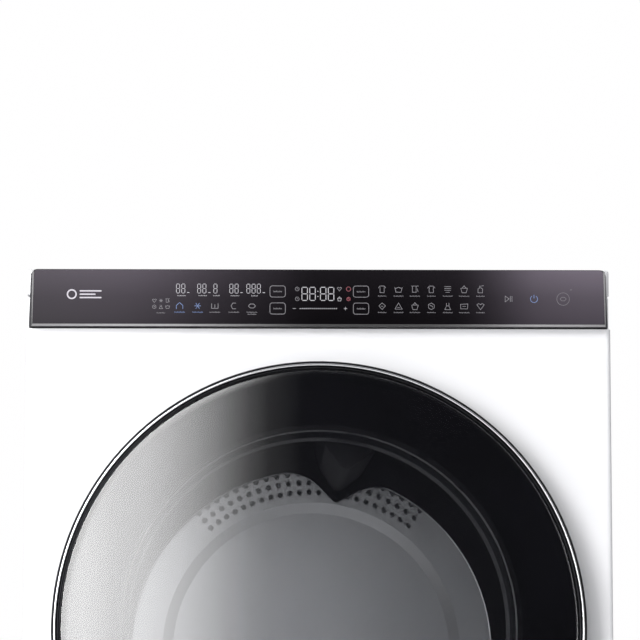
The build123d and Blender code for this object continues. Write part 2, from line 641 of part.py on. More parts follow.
def drum():
    """Rotating drum: seamless shell, lobed rear ring and three hollow lifters."""
    inner = DRUM_R - DRUM_WALL
    profile = [
        (DRUM_R + 1.6, DRUM_FRONT_Y),
        (DRUM_R + 1.6, DRUM_FRONT_Y + 3),
        (DRUM_R, DRUM_FRONT_Y + 3),
        (DRUM_R, BELT_Y - 9),
        (DRUM_R + 1.4, BELT_Y - 8),
        (DRUM_R, BELT_Y - 7),
        (DRUM_R, BELT_Y + 7),
        (DRUM_R + 1.4, BELT_Y + 8),
        (DRUM_R, BELT_Y + 9),
        (DRUM_R, DRUM_REAR_Y),
        (inner, DRUM_REAR_Y),
        (inner, DRUM_FRONT_Y),
    ]
    save(turned(profile, DRUM_Z), "drum_shell")

    flank = 54.0
    run = 70.0
    spread = run * tan(radians(flank))
    with BuildSketch(front_plane(RING_Y + 2, DRUM_Z)) as opening:
        Circle(LOBE_R)
        with Locations(*[Rotation(0, 0, a) for a in LIFTER_ANGLES]):
            Polygon(
                (LIFTER_TIP_R, 0),
                (LIFTER_TIP_R + run, spread),
                (LIFTER_TIP_R + run, -spread),
                align=None,
                mode=Mode.SUBTRACT,
            )
        fillet(opening.vertices().sort_by(off_axis)[:3], 5)
        fillet(opening.vertices().filter_by(lambda v: off_axis(v) > LOBE_R - 1), 46)
    with BuildPart() as ring:
        with BuildSketch(front_plane(RING_Y + 2, DRUM_Z)):
            Circle(inner - 0.1)
        extrude(amount=2)
        extrude(opening.sketch, amount=3, mode=Mode.SUBTRACT)
    save(ring.part, "drum_rear_ring")

    y0, y1 = -190.0, RING_Y - 0.4
    with BuildPart() as paddles:
        for angle in LIFTER_ANGLES:
            with BuildSketch(front_plane(y1, DRUM_Z)) as section:
                with Locations(Rotation(0, 0, angle)):
                    Polygon(*mirrored([(185, 0), (210, 24), (262, 46), (290, 66)]), align=None)
                fillet(section.vertices().sort_by(off_axis)[0], 10)
                Circle(inner - 0.1, mode=Mode.INTERSECT)
            extrude(section.sketch, amount=y1 - y0)
            with BuildSketch(front_plane(y1 - 4, DRUM_Z)) as hollow:
                with Locations(Rotation(0, 0, angle)):
                    Polygon(*mirrored([(191, 0), (212, 19), (263, 41), (272, 49)]), align=None)
                fillet(hollow.vertices().sort_by(off_axis)[0], 6)
            extrude(hollow.sketch, amount=y1 - y0 - 8, mode=Mode.SUBTRACT)
    save(paddles.part, "lifters")


def drum_supports():
    """Felt bearing and seal rings, the two support rollers and their axle pins."""
    with BuildPart() as felts:
        add(turned([(279.1, -222), (281.4, -222), (281.4, -208), (279.1, -208)], DRUM_Z))
        add(turned([(252, 226.6), (262, 226.6), (262, 236.8), (252, 236.8)], DRUM_Z))
    save(felts.part, "drum_felts")
    reach = DRUM_R + RUN_GAP + ROLLER_R
    drop = reach * cos(radians(ROLLER_ANGLE))
    out = reach * sin(radians(ROLLER_ANGLE))
    z = DRUM_Z - drop
    y0, y1 = 197.0, 209.0
    with BuildPart() as pins:
        for x in (-out, out):
            rod_y(x, z, 4, y0 - 4, BACK_DISC_Y)
            rod_y(x, z, 9, y1 + 3, BACK_DISC_Y)
    save(pins.part, "roller_pins")
    for x, name in ((-out, "roller_left"), (out, "roller_right")):
        with BuildPart() as roller:
            rod_y(x, z, ROLLER_R, y0, y1)
            for y in (y0, y1 - 3):
                with BuildSketch(front_plane(y + 3)) as dish:
                    with Locations((x, z)):
                        Circle(16)
                        Circle(8, mode=Mode.SUBTRACT)
                extrude(dish.sketch, amount=3, mode=Mode.SUBTRACT)
            rod_y(x, z, 4 + SHAFT_GAP, y0 - 1, y1 + 1, mode=Mode.SUBTRACT)
        save(roller.part, name)


# ---- drive --------------------------------------------------------------------------------
def drive():
    """Motor, belt, sprung idler and the process-air fan on the motor's rear shaft end."""
    with BuildPart() as motor:
        rod_y(MOTOR_X, MOTOR_Z, 46, MOTOR_Y0, MOTOR_Y1)
        fillet(motor.edges().group_by(Axis.Y)[0], 5)
        rod_y(MOTOR_X, MOTOR_Z, MOTOR_BOSS_R, MOTOR_Y0 - 8, MOTOR_Y1 + 6)
        with BuildSketch(front_plane(MOTOR_Y1 - 6)) as slots:
            with Locations((MOTOR_X, MOTOR_Z)):
                with PolarLocations(48, 12):
                    Rectangle(10, 7)
        extrude(slots.sketch, amount=48, mode=Mode.SUBTRACT)
        rod_y(MOTOR_X, MOTOR_Z, SHAFT_R + SHAFT_GAP, 160, 240, mode=Mode.SUBTRACT)
    save(motor.part, "motor")

    with BuildPart() as shaft:
        rod_y(MOTOR_X, MOTOR_Z, SHAFT_R, BELT_Y - 10, FAN_Y1)
        rod_y(MOTOR_X, MOTOR_Z, PULLEY_R, BELT_Y - 8, BELT_Y + 8)
        rod_y(MOTOR_X, MOTOR_Z, PULLEY_R + 3, BELT_Y - 8, BELT_Y - 5.5)
        rod_y(MOTOR_X, MOTOR_Z, PULLEY_R + 3, BELT_Y + 5.5, BELT_Y + 8)
    save(shaft.part, "motor_shaft")

    blades, y0, y1 = 22, 246.0, FAN_Y1
    with BuildPart() as fan:
        rod_y(MOTOR_X, MOTOR_Z, FAN_R, y1 - 2.5, y1)
        rod_y(MOTOR_X, MOTOR_Z, 13, y0 + 4, y1)
        rod_y(MOTOR_X, MOTOR_Z, FAN_R, y0, y0 + 3)
        rod_y(MOTOR_X, MOTOR_Z, FAN_R - 15, y0 - 1, y0 + 4, mode=Mode.SUBTRACT)
        with BuildSketch(front_plane(y1 - 1)) as vanes:
            with Locations((MOTOR_X, MOTOR_Z)):
                with PolarLocations(FAN_R - 8, blades):
                    with Locations(Rotation(0, 0, 35)):
                        Rectangle(13, 1.6)
        extrude(vanes.sketch, amount=y1 - y0 - 2)
        rod_y(MOTOR_X, MOTOR_Z, SHAFT_R, y0 - 2, y1 + 1, mode=Mode.SUBTRACT)
    save(fan.part, "fan_impeller")

    with BuildPart() as volute:
        with BuildSketch(front_plane(293)) as outer:
            with Locations((MOTOR_X, MOTOR_Z)):
                Circle(72)
            with Locations((MOTOR_X + 72, MOTOR_Z)):
                Rectangle(60, 96, align=(Align.MAX, Align.MIN))
        extrude(amount=51)
        with BuildSketch(front_plane(291)) as inside:
            with Locations((MOTOR_X, MOTOR_Z)):
                Circle(69.5)
            with Locations((MOTOR_X + 69.5, MOTOR_Z)):
                Rectangle(55, 100, align=(Align.MAX, Align.MIN))
        extrude(inside.sketch, amount=46.5, mode=Mode.SUBTRACT)
        rod_y(MOTOR_X, MOTOR_Z, 44, 240, 250, mode=Mode.SUBTRACT)
    save(volute.part, "fan_housing")

    gap = RUN_GAP
    circles = [
        (0, DRUM_Z, DRUM_R + gap),
        (MOTOR_X, MOTOR_Z, PULLEY_R + gap),
        (IDLER_X, IDLER_Z, IDLER_R + gap),
    ]
    with BuildPart() as belt:
        with BuildSketch(front_plane(BELT_Y + BELT_W / 2)) as loop:
            for grow, mode in ((BELT_T, Mode.ADD), (0, Mode.SUBTRACT)):
                with BuildSketch(front_plane(BELT_Y + BELT_W / 2), mode=Mode.PRIVATE) as wrap:
                    for x, z, r in circles:
                        with Locations((x, z)):
                            Circle(r + grow)
                    make_hull()
                add(wrap.sketch, mode=mode)
        extrude(amount=BELT_W)
    save(belt.part, "drive_belt")

    with BuildPart() as arm:
        with BuildSketch(front_plane(164)) as plate:
            middle = ((IDLER_X + IDLER_PIVOT_X) / 2, (IDLER_Z + IDLER_PIVOT_Z) / 2)
            SlotCenterPoint(middle, (IDLER_X, IDLER_Z), 18)
            with Locations((IDLER_PIVOT_X, IDLER_PIVOT_Z)):
                Circle(5 + SHAFT_GAP, mode=Mode.SUBTRACT)
        extrude(plate.sketch, amount=4)
        rod_y(IDLER_X, IDLER_Z, 4, BELT_Y - 9, 160)
    save(arm.part, "idler_arm")
    with BuildPart() as wheel:
        rod_y(IDLER_X, IDLER_Z, IDLER_R, BELT_Y - 7, BELT_Y + 7)
        rod_y(IDLER_X, IDLER_Z, 4 + SHAFT_GAP, BELT_Y - 8, BELT_Y + 8, mode=Mode.SUBTRACT)
    save(wheel.part, "idler_pulley")


# ---- heat pump and water circuit ----------------------------------------------------------
def finned_coil(y0, y1, tubes):
    """Fin-and-tube block, added to the part being built: end plates, a stack of fins and crossing tubes."""
    x0, x1, z0, z1 = 24.0, 262.0, 64.0, 162.0
    step = 8.0
    block(x0, x0 + 2, y0, y1, z0, z1)
    block(x1 - 2, x1, y0, y1, z0, z1)
    with Locations(((x0 + x1) / 2, (y0 + y1) / 2, (z0 + z1) / 2)):
        with GridLocations(step, 0, int((x1 - x0 - step) / step), 1):
            Box(0.8, y1 - y0, z1 - z0)
    for y, z in tubes:
        with Locations(Location(((x0 + x1) / 2, y, z), (0, 90, 0))):
            Cylinder(4, x1 - x0)


def heat_pump():
    """Compressor, evaporator, condenser, their pipes, the duct around them and the drain pump."""
    heights = (82, 113, 144)
    with BuildPart() as coils:
        finned_coil(-218, -140, [(y, z) for y in (-200, -160) for z in heights])
        finned_coil(-125, 0, [(y, z) for y in (-105, -60, -20) for z in heights])
    save(coils.part, "heat_exchangers")

    x, y = -222.0, 175.0
    with BuildPart() as compressor:
        with Locations(Location((x, y, 34))):
            Cylinder(52, 168, align=(Align.CENTER, Align.CENTER, Align.MIN))
        fillet(compressor.edges().filter_by(GeomType.CIRCLE), 22)
        block(x - 60, x + 58, y - 20, y + 20, 30, 36)
        with Locations((x, y, 205)):
            Cylinder(12, 14)
        for dx in (-52, 50):
            with Locations((x + dx, y, 26)):
                Cylinder(9, 8)
        for stub_y, stub_z in ((190, 70), (165, 92)):
            with Locations(Location((x + 49, stub_y, stub_z), (0, 90, 0))):
                Cylinder(5.5, 10)
    save(compressor.part, "compressor")

    with BuildPart() as pipes:
        start = x + 54
        to_condenser = [
            (start, 190, 70), (-120, 190, 70), (-120, 190, 46), (44, 190, 46), (44, 40, 46), (44, 40, 82),
            (44, 0, 82),
        ]
        from_evaporator = [
            (start, 165, 92), (-100, 165, 92), (-100, 205, 92), (-100, 205, 40), (14, 205, 40), (14, -175, 40),
            (14, -175, 82), (24, -175, 82),
        ]
        for points, radius in ((to_condenser, 9.0), (from_evaporator, 4.5)):
            with BuildLine() as path:
                FilletPolyline(*points, radius=radius)
            with BuildSketch(Plane(origin=points[0], z_dir=(1, 0, 0))):
                Circle(4)
            sweep(path=path.line)
    save(pipes.part, "refrigerant_pipes")

    with BuildPart() as duct:
        block(4, 284, DUCT_FRONT_Y, 70, 59, 168)
        fillet(duct.edges().filter_by(Axis.Y).group_by(Axis.Z)[-1], 8)
        block(6.5, 281.5, -261, 71, 58, 165.5, mode=Mode.SUBTRACT)
        block(16, 96, -245, -229, 160, 170, mode=Mode.SUBTRACT)
    save(duct.part, "heat_pump_duct")

    with BuildPart() as cover:
        face = DUCT_FRONT_Y - 6
        block(8, 280, face, DUCT_FRONT_Y - 0.2, 61, 166)
        fillet(cover.edges().filter_by(Axis.Y), 6)
        block(60, 228, face - 1, face + 3, 78, 148, mode=Mode.SUBTRACT)
        block(96, 192, face - 1.5, face + 3, 108, 118)
    save(cover.part, "filter_door")
    with BuildPart() as lever:
        rod_y(LEVER_X, LEVER_Z, 16, face - 3, face - 0.2)
        block(LEVER_X - 4, LEVER_X + 4, face - 7, face - 3, LEVER_Z - 15, LEVER_Z + 15)
        fillet(lever.edges().filter_by(Axis.Y), 2)
    save(lever.part, "filter_lever")

    with BuildPart() as pump:
        block(-98, -52, 128, 186, 22, 34)
        with Locations((-75, 157, 34)):
            Cylinder(20, 34, align=(Align.CENTER, Align.CENTER, Align.MIN))
        with Locations(Location((-75, 142, 46), (90, 0, 0))):
            Cylinder(5, 40)
    save(pump.part, "drain_pump")


def water_drawer():
    """Condensate drawer: the tank with its filling hole, and the front with its grip recess."""
    with BuildPart() as tank:
        block(-262, -38, -268, 94, 63, 162)
        fillet(tank.edges().filter_by(Axis.Y), 10)
        offset(amount=-2.5, kind=Kind.INTERSECTION, mode=Mode.SUBTRACT)
        with Locations((-70, 60, 160)):
            Cylinder(14, 12, mode=Mode.SUBTRACT)
    save(tank.part, "water_tank")

    with BuildPart() as plate:
        block(TANK_X0, TANK_X1, FRONT_Y, -268, LOW_Z0, LOW_Z1)
        fillet(plate.edges().filter_by(Axis.Y), 2)
        fillet(plate.edges().group_by(Axis.Y)[0], 1.2)
        with BuildSketch(front_plane(FRONT_Y + 11.0)) as grip:
            with Locations(((TANK_X0 + TANK_X1) / 2, LOW_Z1 - 26)):
                SlotOverall(120, 26)
        extrude(grip.sketch, amount=12, mode=Mode.SUBTRACT)
    save(plate.part, "drawer_front")


def service_flap():
    """Hinged flap over the heat exchanger's filter door, with air slots, a finger notch and pivot stubs."""
    with BuildPart() as flap:
        block(FLAP_X0, FLAP_X1, FRONT_Y, FRONT_Y + 5, LOW_Z0, LOW_Z1)
        fillet(flap.edges().group_by(Axis.Y)[0], 1.2)
        with BuildSketch(front_plane(FRONT_Y + 6)) as slots:
            with Locations((176, 115)):
                with GridLocations(0, 11, 1, 8):
                    SlotOverall(150, 4)
        extrude(slots.sketch, amount=8, mode=Mode.SUBTRACT)
        with Locations((FLAP_X0, FRONT_Y + 5, (LOW_Z0 + LOW_Z1) / 2)):
            Box(16, 5, 40, mode=Mode.SUBTRACT)
        with Locations((FLAP_PIVOT_X, FLAP_PIVOT_Y, (LOW_Z0 + LOW_Z1) / 2)):
            Cylinder(1.6, LOW_Z1 - LOW_Z0 + 2 * LOW_GAP + 6)
    save(flap.part, "service_flap")


def rear_connections():
    """Where the mains cable and the drain hose reach the machine: gland and barbed spigot."""
    with BuildPart() as gland:
        rod_y(228, 770, 12, REAR_Y, REAR_Y + 9)
        rod_y(228, 770, 9, REAR_Y - 8, REAR_Y + 9)
        rod_y(228, 770, 4.2, REAR_Y - 9, REAR_Y + 10, mode=Mode.SUBTRACT)
    save(gland.part, "cable_gland")
    with BuildPart() as spigot:
        rod_y(-235, 745, 13, REAR_Y, REAR_Y + 2)
        rod_y(-235, 745, 8, REAR_Y - 12, REAR_Y + 23)
        rod_y(-235, 745, 5.5, REAR_Y - 13, REAR_Y + 24, mode=Mode.SUBTRACT)
    save(spigot.part, "drain_spigot")


base_tray()
feet()
side_panels()
front_panel()
plinth()
rear_panel()
rear_duct_cover()
rear_screws()
worktop()
fascia()
electronics()
door()
hinge()
door_fittings()
front_bulkhead()
lint_filter()
rear_bulkhead()
back_disc()
drum()
drum_supports()
drive()
heat_pump()
water_drawer()
service_flap()
rear_connections()
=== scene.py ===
"""Looks of a front-loading clothes dryer: surfaces, fine pieces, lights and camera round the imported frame.

Lengths are metres in the frame's own axes: +Z is up and the front of the machine faces -Y.
"""

from math import atan2, cos, hypot, pi, radians, sin, sqrt

import bmesh
import bpy
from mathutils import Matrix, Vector

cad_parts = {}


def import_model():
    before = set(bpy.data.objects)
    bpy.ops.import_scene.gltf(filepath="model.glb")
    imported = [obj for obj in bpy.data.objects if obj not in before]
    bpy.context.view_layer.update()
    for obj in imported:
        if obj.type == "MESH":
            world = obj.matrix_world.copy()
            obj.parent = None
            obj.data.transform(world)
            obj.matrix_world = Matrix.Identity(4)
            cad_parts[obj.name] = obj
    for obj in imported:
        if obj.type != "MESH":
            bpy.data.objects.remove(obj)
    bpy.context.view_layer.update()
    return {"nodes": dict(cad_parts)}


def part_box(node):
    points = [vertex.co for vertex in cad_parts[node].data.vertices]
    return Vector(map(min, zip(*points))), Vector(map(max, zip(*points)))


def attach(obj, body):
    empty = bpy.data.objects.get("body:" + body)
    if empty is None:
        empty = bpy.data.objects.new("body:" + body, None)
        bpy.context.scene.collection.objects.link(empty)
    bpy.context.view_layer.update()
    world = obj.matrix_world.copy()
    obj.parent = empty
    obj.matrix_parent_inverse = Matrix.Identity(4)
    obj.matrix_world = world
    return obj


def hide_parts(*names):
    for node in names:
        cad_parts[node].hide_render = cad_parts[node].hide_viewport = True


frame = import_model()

nodes = frame["nodes"]
MM = 0.001

# ---- places read from the frame -----------------------------------------------------------
glass_low, glass_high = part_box("door_glass")
DOOR_Z = (glass_low.z + glass_high.z) / 2
GLASS_R = (glass_high.x - glass_low.x) / 2
CROWN_Y = glass_low.y

ring_low, ring_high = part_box("door_ring")
RING_R = (ring_high.x - ring_low.x) / 2
RING_FRONT_Y, RING_REAR_Y = ring_low.y, ring_high.y

bowl_low, bowl_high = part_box("door_bowl")
BOWL_R = (bowl_high.x - bowl_low.x) / 2

shell_low, shell_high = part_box("drum_shell")
DRUM_Z = (shell_low.z + shell_high.z) / 2
LOBES_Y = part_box("drum_rear_ring")[0].y
DISC_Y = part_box("drum_back_disc")[1].y

pane_low, pane_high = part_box("fascia_glass")
PANE_Y = pane_low.y
PANE_Z = (pane_low.z + pane_high.z) / 2


# ---- mesh helpers -------------------------------------------------------------------------
def new_object(name, data):
    """A new object in the scene's own collection."""
    made = bpy.data.objects.new(name, data)
    bpy.context.scene.collection.objects.link(made)
    return made


def add_piece(name, verts, faces, material, body, slot, stands_for=(), sharp=35.0):
    """A mesh piece that rides on a body, with outward normals and smooth faces between its sharp edges."""
    mesh = bpy.data.meshes.new(name)
    mesh.from_pydata(verts, [], faces)
    shape = bmesh.new()
    shape.from_mesh(mesh)
    bmesh.ops.remove_doubles(shape, verts=shape.verts, dist=1e-6)
    bmesh.ops.recalc_face_normals(shape, faces=shape.faces)
    shape.to_mesh(mesh)
    shape.free()
    mesh.shade_smooth()
    mesh.set_sharp_from_angle(angle=radians(sharp))
    mesh.materials.append(material)
    piece = new_object(name, mesh)
    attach(piece, body)
    for node in stands_for:
        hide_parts(node)
    return piece


def arc(centre, radius, start, end, count):
    """Points on a circular arc, with angles in degrees."""
    angles = [radians(start + (end - start) * i / (count - 1)) for i in range(count)]
    return [(centre[0] + radius * cos(a), centre[1] + radius * sin(a)) for a in angles]


def lathe(profile, axis_z, steps=256):
    """A closed profile of (radius, y) turned about the front-to-back axis at height axis_z."""
    count = len(profile)
    verts, faces = [], []
    for i in range(steps):
        angle = 2 * pi * i / steps
        verts += [(r * cos(angle), y, axis_z + r * sin(angle)) for r, y in profile]
        here, following = i * count, (i + 1) % steps * count
        for j in range(count):
            k = (j + 1) % count
            faces.append((here + j, here + k, following + k, following + j))
    return verts, faces


def tube(path, radius, sides=8):
    """A closed round tube along a loop of points."""
    verts, faces = [], []
    count = len(path)
    for i, point in enumerate(path):
        along = (path[(i + 1) % count] - path[i - 1]).normalized()
        across = along.cross(Vector((0, 1, 0))).normalized()
        third = along.cross(across)
        for j in range(sides):
            angle = 2 * pi * j / sides
            verts.append(point + radius * (cos(angle) * across + sin(angle) * third))
            a, b = i * sides + j, i * sides + (j + 1) % sides
            c = (i + 1) % count * sides
            faces.append((a, b, c + (j + 1) % sides, c + j))
    return verts, faces


# ---- material helpers ---------------------------------------------------------------------
def add_node(tree, kind, values=None, **settings):
    """Adds a shader node; values are its inputs, each a constant or another node's output."""
    made = tree.nodes.new("ShaderNode" + kind)
    for key, value in settings.items():
        setattr(made, key, value)
    for key, value in (values or {}).items():
        if isinstance(value, bpy.types.NodeSocket):
            tree.links.new(value, made.inputs[key])
        else:
            made.inputs[key].default_value = value
    return made


class Shader:
    """A Principled material being built, patterned in the row frame's own coordinates."""

    def __init__(self, name, **sockets):
        self.material = bpy.data.materials.new(name)
        self.material.use_nodes = True
        self.tree = self.material.node_tree
        self.surface = self.tree.nodes["Principled BSDF"]
        self.place = self.node("TexCoord").outputs["Object"]
        for key, value in sockets.items():
            self.surface.inputs[key.replace("_", " ")].default_value = value

    def node(self, kind, values=None, **settings):
        return add_node(self.tree, kind, values, **settings)

    def noise(self, scale, detail=2.0, vector=None):
        values = {"Vector": vector or self.place, "Scale": scale, "Detail": detail}
        return self.node("TexNoise", values).outputs["Fac"]

    def math(self, operation, a, b=0.0):
        return self.node("Math", {0: a, 1: b}, operation=operation).outputs[0]

    def spread(self, value, low, high, start=0.3, end=0.7):
        """Maps value from start..end to low..high."""
        values = {"Value": value, "From Min": start, "From Max": end, "To Min": low, "To Max": high}
        return self.node("MapRange", values).outputs["Result"]

    def ramp(self, value, stops, interpolation="LINEAR"):
        """Colour looked up along stops of (position, colour)."""
        made = self.node("ValToRGB", {"Fac": value})
        made.color_ramp.interpolation = interpolation
        points = made.color_ramp.elements
        while len(points) < len(stops):
            points.new(0.5)
        for point, (position, colour) in zip(points, stops):
            point.position = position
            point.color = (*colour, 1.0)
        return made.outputs["Color"]

    def blend(self, share, a, b, mode="MIX"):
        """Colour b over colour a."""
        made = self.node("Mix", data_type="RGBA", blend_type=mode)
        for index, value in ((0, share), (6, a), (7, b)):
            if isinstance(value, bpy.types.NodeSocket):
                self.tree.links.new(value, made.inputs[index])
            elif index:
                made.inputs[index].default_value = (*value, 1.0)
            else:
                made.inputs[index].default_value = value
        return made.outputs[2]

    def drive(self, socket, value):
        self.tree.links.new(value, self.surface.inputs[socket])

    def relief(self, height, depth, strength=1.0):
        """Bumps the surface by height times depth, in metres."""
        values = {"Height": height, "Distance": depth, "Strength": strength}
        self.drive("Normal", self.node("Bump", values).outputs["Normal"])

    def polar(self, axis_z):
        """(distance from the front-to-back axis at axis_z, y, angle round it) as separate outputs."""
        moved = self.node("VectorMath", {0: self.place, 1: (0, 0, -axis_z)}, operation="ADD")
        split = self.node("SeparateXYZ", {0: moved.outputs[0]})
        x, y, z = (split.outputs[i] for i in range(3))
        squared = self.math("ADD", self.math("MULTIPLY", x, x), self.math("MULTIPLY", z, z))
        return self.math("SQRT", squared), y, self.math("ARCTAN2", z, x)

    def join(self, x, y, z):
        return self.node("CombineXYZ", {0: x, 1: y, 2: z}).outputs[0]


def grained(name, colour, rough, grain=1400.0, depth=0.00006, vary=0.06, **sockets):
    """A moulded or painted surface: slightly uneven tone and gloss over a fine even grain."""
    made = Shader(name, **sockets)
    low, high = (tuple(c * (1 + s * vary) for c in colour) for s in (-1, 1))
    made.drive("Base Color", made.ramp(made.noise(14.0, 4.0), [(0.3, low), (0.7, high)]))
    made.drive("Roughness", made.spread(made.noise(60.0, 3.0), rough * 0.85, rough * 1.15))
    made.relief(made.noise(grain, 2.0), depth)
    return made.material


# ---- materials ----------------------------------------------------------------------------
def enamel(name, colour, rough):
    """Gloss white: faint orange peel under a clear top coat."""
    made = Shader(name, Coat_Weight=0.35, Coat_Roughness=0.06)
    low, high = (tuple(c * s for c in colour) for s in (0.985, 1.0))
    made.drive("Base Color", made.ramp(made.noise(6.0, 3.0), [(0.35, low), (0.65, high)]))
    made.drive("Roughness", made.spread(made.noise(25.0, 3.0), rough * 0.9, rough * 1.12))
    made.relief(made.noise(320.0, 2.0), 0.00004, 0.5)
    return made.material


def galvanised():
    """Zinc spangle: crystal patches of different grey and gloss."""
    made = Shader("galvanised_sheet", Metallic=1.0)
    warped = made.node("MixRGB", {0: 0.04, 1: made.place, 2: made.noise(30.0, 3.0)}).outputs[0]
    cells = made.node("TexVoronoi", {"Vector": warped, "Scale": 75.0}).outputs["Color"]
    patch = made.node("SeparateColor", {0: cells}).outputs[0]
    made.drive("Base Color", made.ramp(patch, [(0.0, (0.44, 0.46, 0.48)), (1.0, (0.62, 0.64, 0.66))]))
    made.drive("Roughness", made.spread(patch, 0.34, 0.5, 0.0, 1.0))
    made.relief(made.noise(500.0, 3.0), 0.00004)
    return made.material


def brushed(name, colour, axis_z, rough=(0.34, 0.46)):
    """Stainless steel with fine grinding lines round the front-to-back axis."""
    lines_per_metre = 1600.0
    made = Shader(name, Metallic=1.0, Anisotropic=0.4)
    radius, depth, angle = made.polar(axis_z)
    across = [made.math("MULTIPLY", distance, lines_per_metre) for distance in (radius, depth)]
    lines = made.join(*across, angle)
    scratch = made.noise(1.0, 4.0, lines)
    low, high = (tuple(c * s for c in colour) for s in (0.86, 1.0))
    made.drive("Base Color", made.ramp(scratch, [(0.3, low), (0.7, high)]))
    made.drive("Roughness", made.spread(scratch, *rough))
    made.relief(scratch, 0.00002, 0.5)
    return made.material


def plated(name, colour, rough, scale=180.0):
    """Bright or dull metal finish with faint clouding."""
    made = Shader(name, Metallic=1.0)
    low, high = (tuple(c * s for c in colour) for s in (0.9, 1.0))
    made.drive("Base Color", made.ramp(made.noise(scale, 3.0), [(0.3, low), (0.7, high)]))
    made.drive("Roughness", made.spread(made.noise(scale * 1.7, 3.0), rough * 0.8, rough * 1.25))
    made.relief(made.noise(scale * 6, 2.0), 0.00001, 0.5)
    return made.material


def control_glass():
    """Control glass with a painted reflection: violet-grey at both ends, nearly black in the middle, darker
    low down.
    """
    made = Shader("control_glass", IOR=1.5, Specular_IOR_Level=0.06)
    split = made.node("SeparateXYZ", {0: made.place})
    along = made.spread(split.outputs[0], 0.0, 1.0, pane_low.x, pane_high.x)
    up = made.spread(split.outputs[2], 0.0, 1.0, pane_low.z, pane_high.z)
    violet = (1.0, 0.86, 1.05)
    # painted reflection across the glass, lighter towards both ends
    painted_reflection_tones = [(0.0, 0.055), (0.16, 0.085), (0.3, 0.038), (0.44, 0.011), (0.5, 0.008), (0.74, 0.008),
             (0.81, 0.035), (0.88, 0.11), (1.0, 0.135)]
    stops = [(place, tuple(tone * c for c in violet)) for place, tone in painted_reflection_tones]
    band = made.ramp(along, stops, "B_SPLINE")
    # painted reflection fading from the top down
    painted_reflection_fade = made.ramp(up, [(0.0, (0.42, 0.42, 0.42)), (0.5, (0.62, 0.62, 0.62)), (1.0, (1.05, 1.05, 1.05))])
    made.drive("Base Color", made.blend(1.0, band, painted_reflection_fade, "MULTIPLY"))
    made.drive("Roughness", made.spread(made.noise(40.0, 3.0), 0.05, 0.08))
    return made.material


def trim_with_painted_reflection():
    """Satin metal strip round the control glass with a painted reflection that is lighter towards both ends,
    and dark outer edges.
    """
    made = Shader("trim_with_painted_reflection", Specular_IOR_Level=0.15)
    across = made.node("SeparateXYZ", {0: made.place}).outputs[0]
    along = made.spread(across, 0.0, 1.0, pane_low.x, pane_high.x)
    # painted reflection along the strip, lighter towards both ends
    painted_reflection_tones = [(0.0, 0.2), (0.12, 0.33), (0.26, 0.3), (0.42, 0.06), (0.5, 0.04), (0.7, 0.04), (0.8, 0.14),
             (0.88, 0.34), (1.0, 0.22)]
    band = made.ramp(along, [(place, (tone, tone * 0.98, tone)) for place, tone in painted_reflection_tones], "B_SPLINE")
    cloud = made.ramp(made.noise(220.0, 3.0), [(0.3, (0.92, 0.92, 0.92)), (0.7, (1.0, 1.0, 1.0))])
    outward = made.math("ABSOLUTE", across)
    edge = made.spread(outward, 0.0, 1.0, pane_high.x + 0.5 * MM, pane_high.x + 1.0 * MM)
    tone = made.blend(edge, made.blend(1.0, band, cloud, "MULTIPLY"), (0.03, 0.03, 0.033))
    made.drive("Base Color", tone)
    made.drive("Roughness", made.spread(made.noise(300.0, 3.0), 0.3, 0.42))
    return made.material


def see_through(name, tint, colour, share, ior, rough):
    """Thin tinted pane: glossy Principled surface over a Transparent tint, mixed by one constant share."""
    made = Shader(name, IOR=ior, Coat_Weight=0.0)
    low, high = (tuple(c * s for c in colour) for s in (0.8, 1.2))
    made.drive("Base Color", made.ramp(made.noise(12.0, 2.0), [(0.3, low), (0.7, high)]))
    made.drive("Roughness", made.spread(made.noise(30.0, 2.0), rough * 0.8, rough * 1.2))
    clear = made.node("BsdfTransparent", {"Color": (*tint, 1.0)})
    mixed = made.node("MixShader", {0: share, 1: clear.outputs[0], 2: made.surface.outputs[0]})
    made.tree.links.new(mixed.outputs[0], made.tree.nodes["Material Output"].inputs["Surface"])
    return made.material


def felt():
    """Matted wool fibre."""
    made = Shader("felt", Sheen_Weight=0.4, Sheen_Roughness=0.5, Roughness=0.95)
    fibre = made.noise(2200.0, 6.0)
    made.drive("Base Color", made.ramp(fibre, [(0.3, (0.48, 0.45, 0.40)), (0.7, (0.70, 0.67, 0.61))]))
    made.relief(fibre, 0.0004)
    return made.material


def circuit_board():
    """Green laminate with darker copper runs under the lacquer."""
    made = Shader("circuit_board", Coat_Weight=0.4, Coat_Roughness=0.2, Roughness=0.4)
    runs = made.node("TexBrick", {"Vector": made.place, "Scale": 60.0, "Mortar Size": 0.03}).outputs["Fac"]
    made.drive("Base Color", made.ramp(runs, [(0.2, (0.02, 0.11, 0.05)), (0.8, (0.05, 0.22, 0.10))]))
    made.relief(runs, 0.00003)
    return made.material


def lit_print(name, colour, glow):
    """Screen-printed or back-lit marking, a little uneven in density; where the mark is only printed, its
    glow is painted light.
    """
    made = Shader(name, Roughness=0.5, Emission_Strength=glow, Emission_Color=(*colour, 1.0))
    low, high = (tuple(c * s for c in colour) for s in (0.85, 1.0))
    made.drive("Base Color", made.ramp(made.noise(900.0, 2.0), [(0.3, low), (0.7, high)]))
    return made.material


